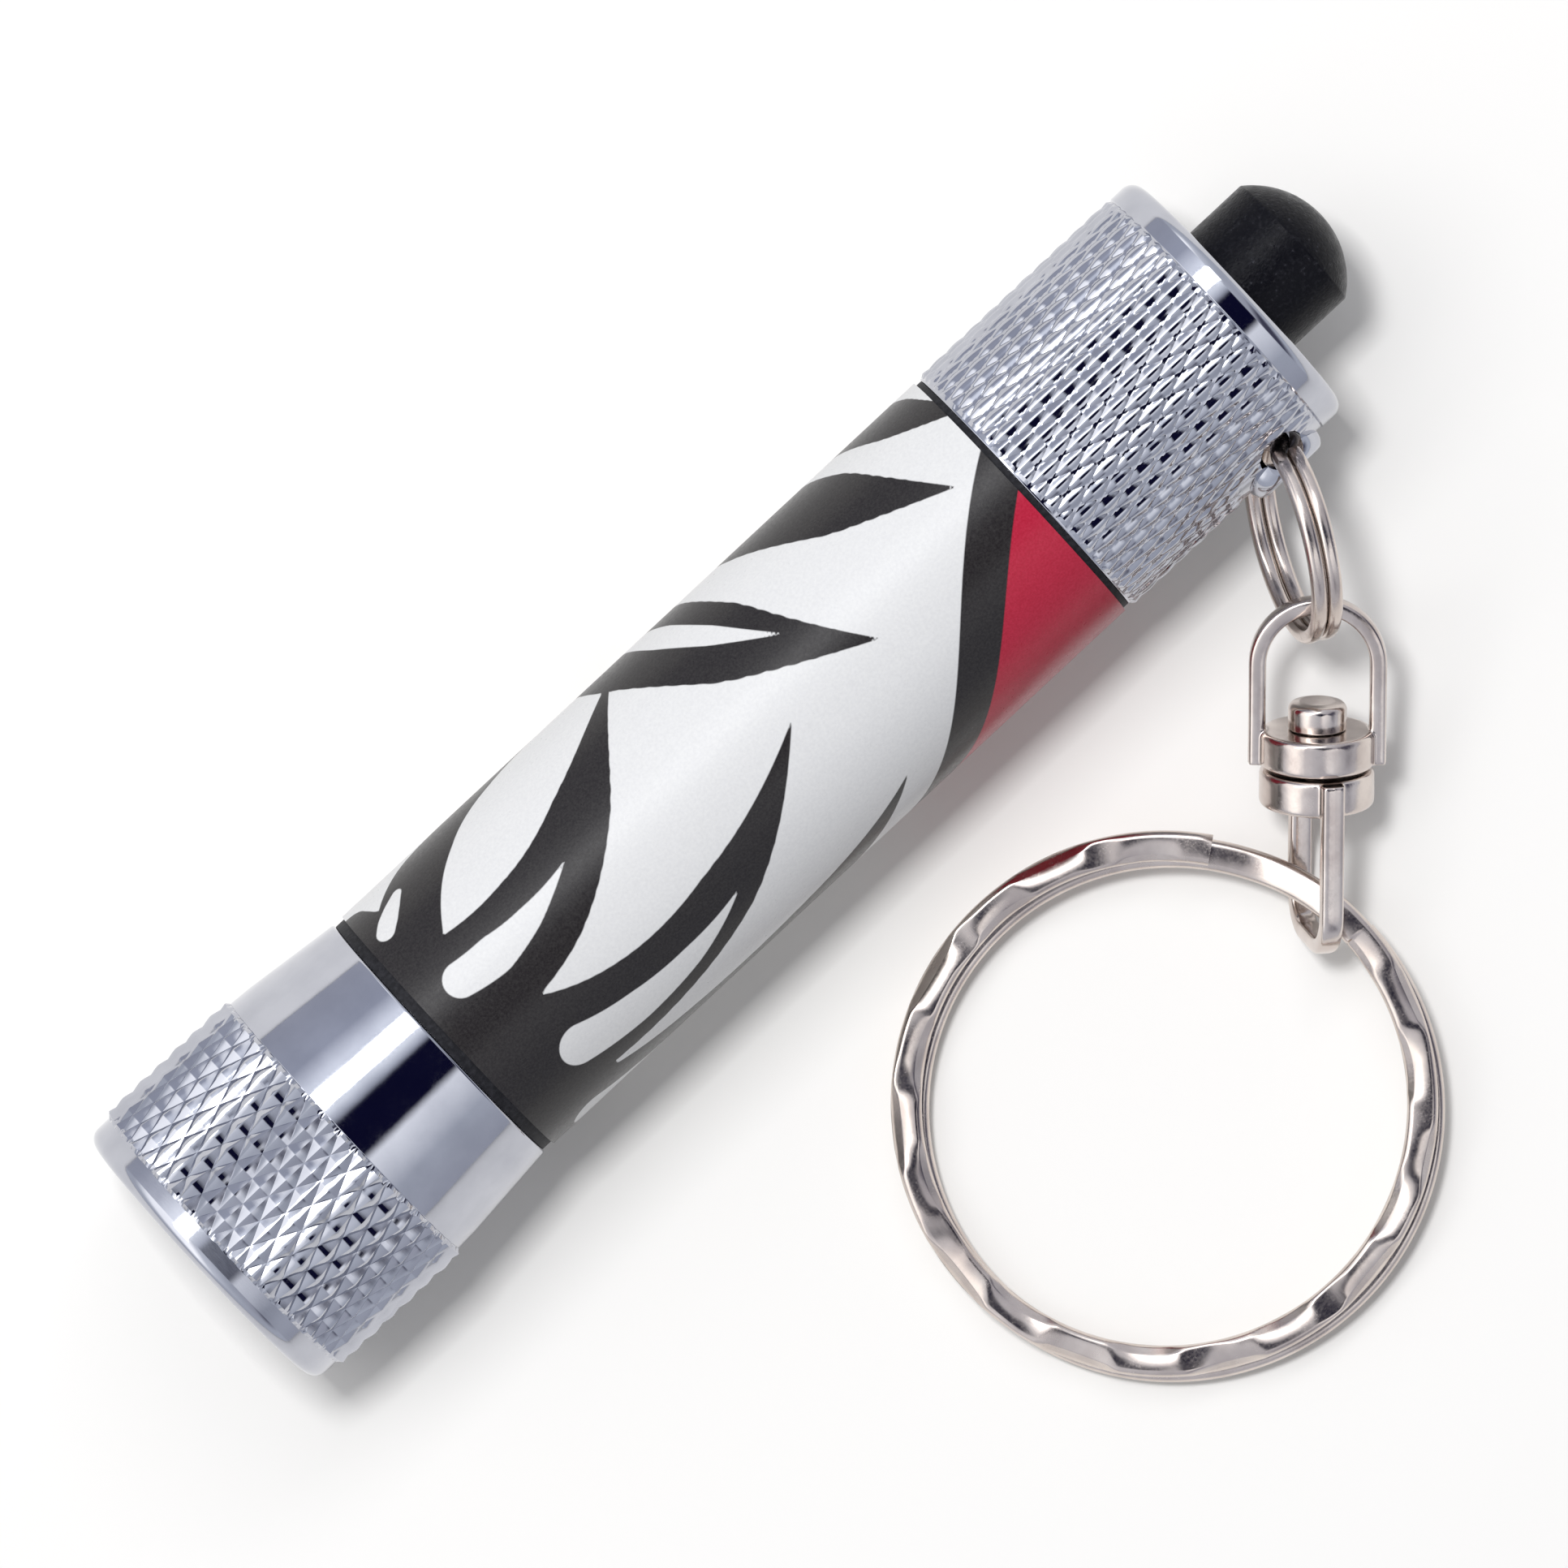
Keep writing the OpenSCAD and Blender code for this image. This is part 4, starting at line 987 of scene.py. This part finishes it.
bowl_metal, tree, shader = finish("reflector_plating", (0.88, 0.88, 0.90), metallic=1.0, roughness=0.06)
tree.links.new(ramp(tree, grain(tree, 1.5), (0.3, 0.86, 0.86, 0.89), (0.7, 0.92, 0.92, 0.94)),
               shader.inputs["Base Color"])
tree.links.new(spread(tree, grain(tree, 0.5, detail=4.0), 0.03, 0.10), shader.inputs["Roughness"])
relief(tree, shader, grain(tree, 0.5, detail=2.0), 0.01)
bowl_low, bowl_high = (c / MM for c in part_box("reflector"))
bowl_depth, bowl_edge, bowl_hole, bowl_outer = bowl_high.x - bowl_low.x, 6.25, 2.6, 6.7
bowl = [
    (bowl_high.x - bowl_depth * (i / 40) ** 2, bowl_hole + (bowl_edge - bowl_hole) * i / 40)
    for i in range(41)]
bowl += rounded([(*bowl[-1], 0), (bowl_low.x, bowl_outer, 0.1), (bowl_high.x, bowl_outer, 0.1),
                 (*bowl[0], 0)],
                closed=False)[1:-1]
reflector = dressed(turned("reflector_bowl", bowl, columns=128), bowl_metal, sharp=25)
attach(reflector, "lens_stack")
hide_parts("reflector")

epoxy, tree, shader = finish("clear_epoxy", (0.95, 0.97, 1.0), roughness=0.03,
                             Transmission_Weight=0.9, IOR=1.53)
tree.links.new(spread(tree, grain(tree, 0.8, detail=3.0), 0.02, 0.08), shader.inputs["Roughness"])
led_low, led_high = (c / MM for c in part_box("led_emitter"))
led_radius, flange_radius = 2.5, led_high.z
dome_centre = led_low.x + led_radius
bulb = [(dome_centre - led_radius * math.cos(a), led_radius * math.sin(a))
        for a in (math.pi / 2 * i / 16 for i in range(17))]
bulb += rounded([(*bulb[-1], 0), (led_high.x - 1.0, led_radius, 0.08),
                 (led_high.x - 1.0, flange_radius, 0.12),
                 (led_high.x, flange_radius, 0.08), (led_high.x, 0, 0)], closed=False)[1:]
led = dressed(turned("diode_body", bulb, columns=96, closed=False), epoxy, sharp=28)
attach(led, "torch")
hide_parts("led_emitter")

tin, tree, shader = finish("tinned_wire", (0.80, 0.80, 0.79), metallic=1.0, roughness=0.3)
tree.links.new(spread(tree, grain(tree, 0.3, detail=4.0), 0.2, 0.45), shader.inputs["Roughness"])
coat("led_leads", tin)

white_plastic, tree, shader = finish("white_moulding", (0.80, 0.80, 0.77), roughness=0.5)
mould = grain(tree, 0.4, detail=4.0)
tree.links.new(ramp(tree, mould, (0.3, 0.74, 0.74, 0.71), (0.7, 0.83, 0.83, 0.80)),
               shader.inputs["Base Color"])
relief(tree, shader, mould, 0.01)
for part in ("led_holder", "cell_sleeve", "plunger"):
    coat(part, white_plastic)


# --- Cells, switch and springs, closed inside the barrel ---
# Four plated button cells stand in a white sleeve. A brass rod, a contact bridge under the
# button and a pressed ring make up the switch, in a black housing, with two wire springs.
solder_mask, tree, shader = finish("solder_mask", (0.03, 0.16, 0.07), roughness=0.35)
tree.links.new(ramp(tree, grain(tree, 0.5, detail=4.0), (0.4, 0.025, 0.13, 0.06), (0.6, 0.045, 0.22, 0.10)),
               shader.inputs["Base Color"])
coat("circuit_disc", solder_mask)

brass, tree, shader = finish("pressed_brass", (0.72, 0.52, 0.22), metallic=1.0, roughness=0.28)
tree.links.new(ramp(tree, grain(tree, 0.9, detail=5.0), (0.35, 0.74, 0.55, 0.26), (0.7, 0.52, 0.36, 0.15)),
               shader.inputs["Base Color"])
relief(tree, shader, grain(tree, 0.2, detail=3.0), 0.008)
for part in ("contact_rod", "contact_bridge", "retaining_ring"):
    coat(part, brass)

spring_wire, tree, shader = finish("spring_wire", (0.66, 0.66, 0.68), metallic=1.0, roughness=0.25)
tree.links.new(spread(tree, grain(tree, 0.3, detail=3.0), 0.15, 0.4), shader.inputs["Roughness"])
coat("contact_spring", spring_wire)

# The return spring shortens as the button goes in, so a merged copy of its wire stands for it.
spring_mesh = frame["nodes"]["return_spring"].data.copy()
work = bmesh.new()
work.from_mesh(spring_mesh)
bmesh.ops.remove_doubles(work, verts=work.verts, dist=0.0001 * MM)
work.to_mesh(spring_mesh)
work.free()
spring = bpy.data.objects.new("button_spring", spring_mesh)
bpy.context.scene.collection.objects.link(spring)
dressed(spring, spring_wire, sharp=70)
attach(spring, "torch")
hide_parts("return_spring")
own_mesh(spring)

cell_can, tree, shader = finish("cell_can", (0.74, 0.74, 0.75), metallic=1.0, roughness=0.3)
brushed = grain(tree, 0.4, detail=3.0, stretch=(0.2, 1, 1))
tree.links.new(spread(tree, brushed, 0.2, 0.42), shader.inputs["Roughness"])
relief(tree, shader, brushed, 0.006)
for number in range(1, 5):
    coat(f"button_cell_{number}", cell_can)

black_moulding, tree, shader = finish("black_moulding", (0.03, 0.03, 0.033), roughness=0.5)
tree.links.new(ramp(tree, grain(tree, 0.3, detail=4.0),
                    (0.3, 0.022, 0.022, 0.025), (0.7, 0.045, 0.045, 0.05)),
               shader.inputs["Base Color"])
coat("switch_housing", black_moulding)
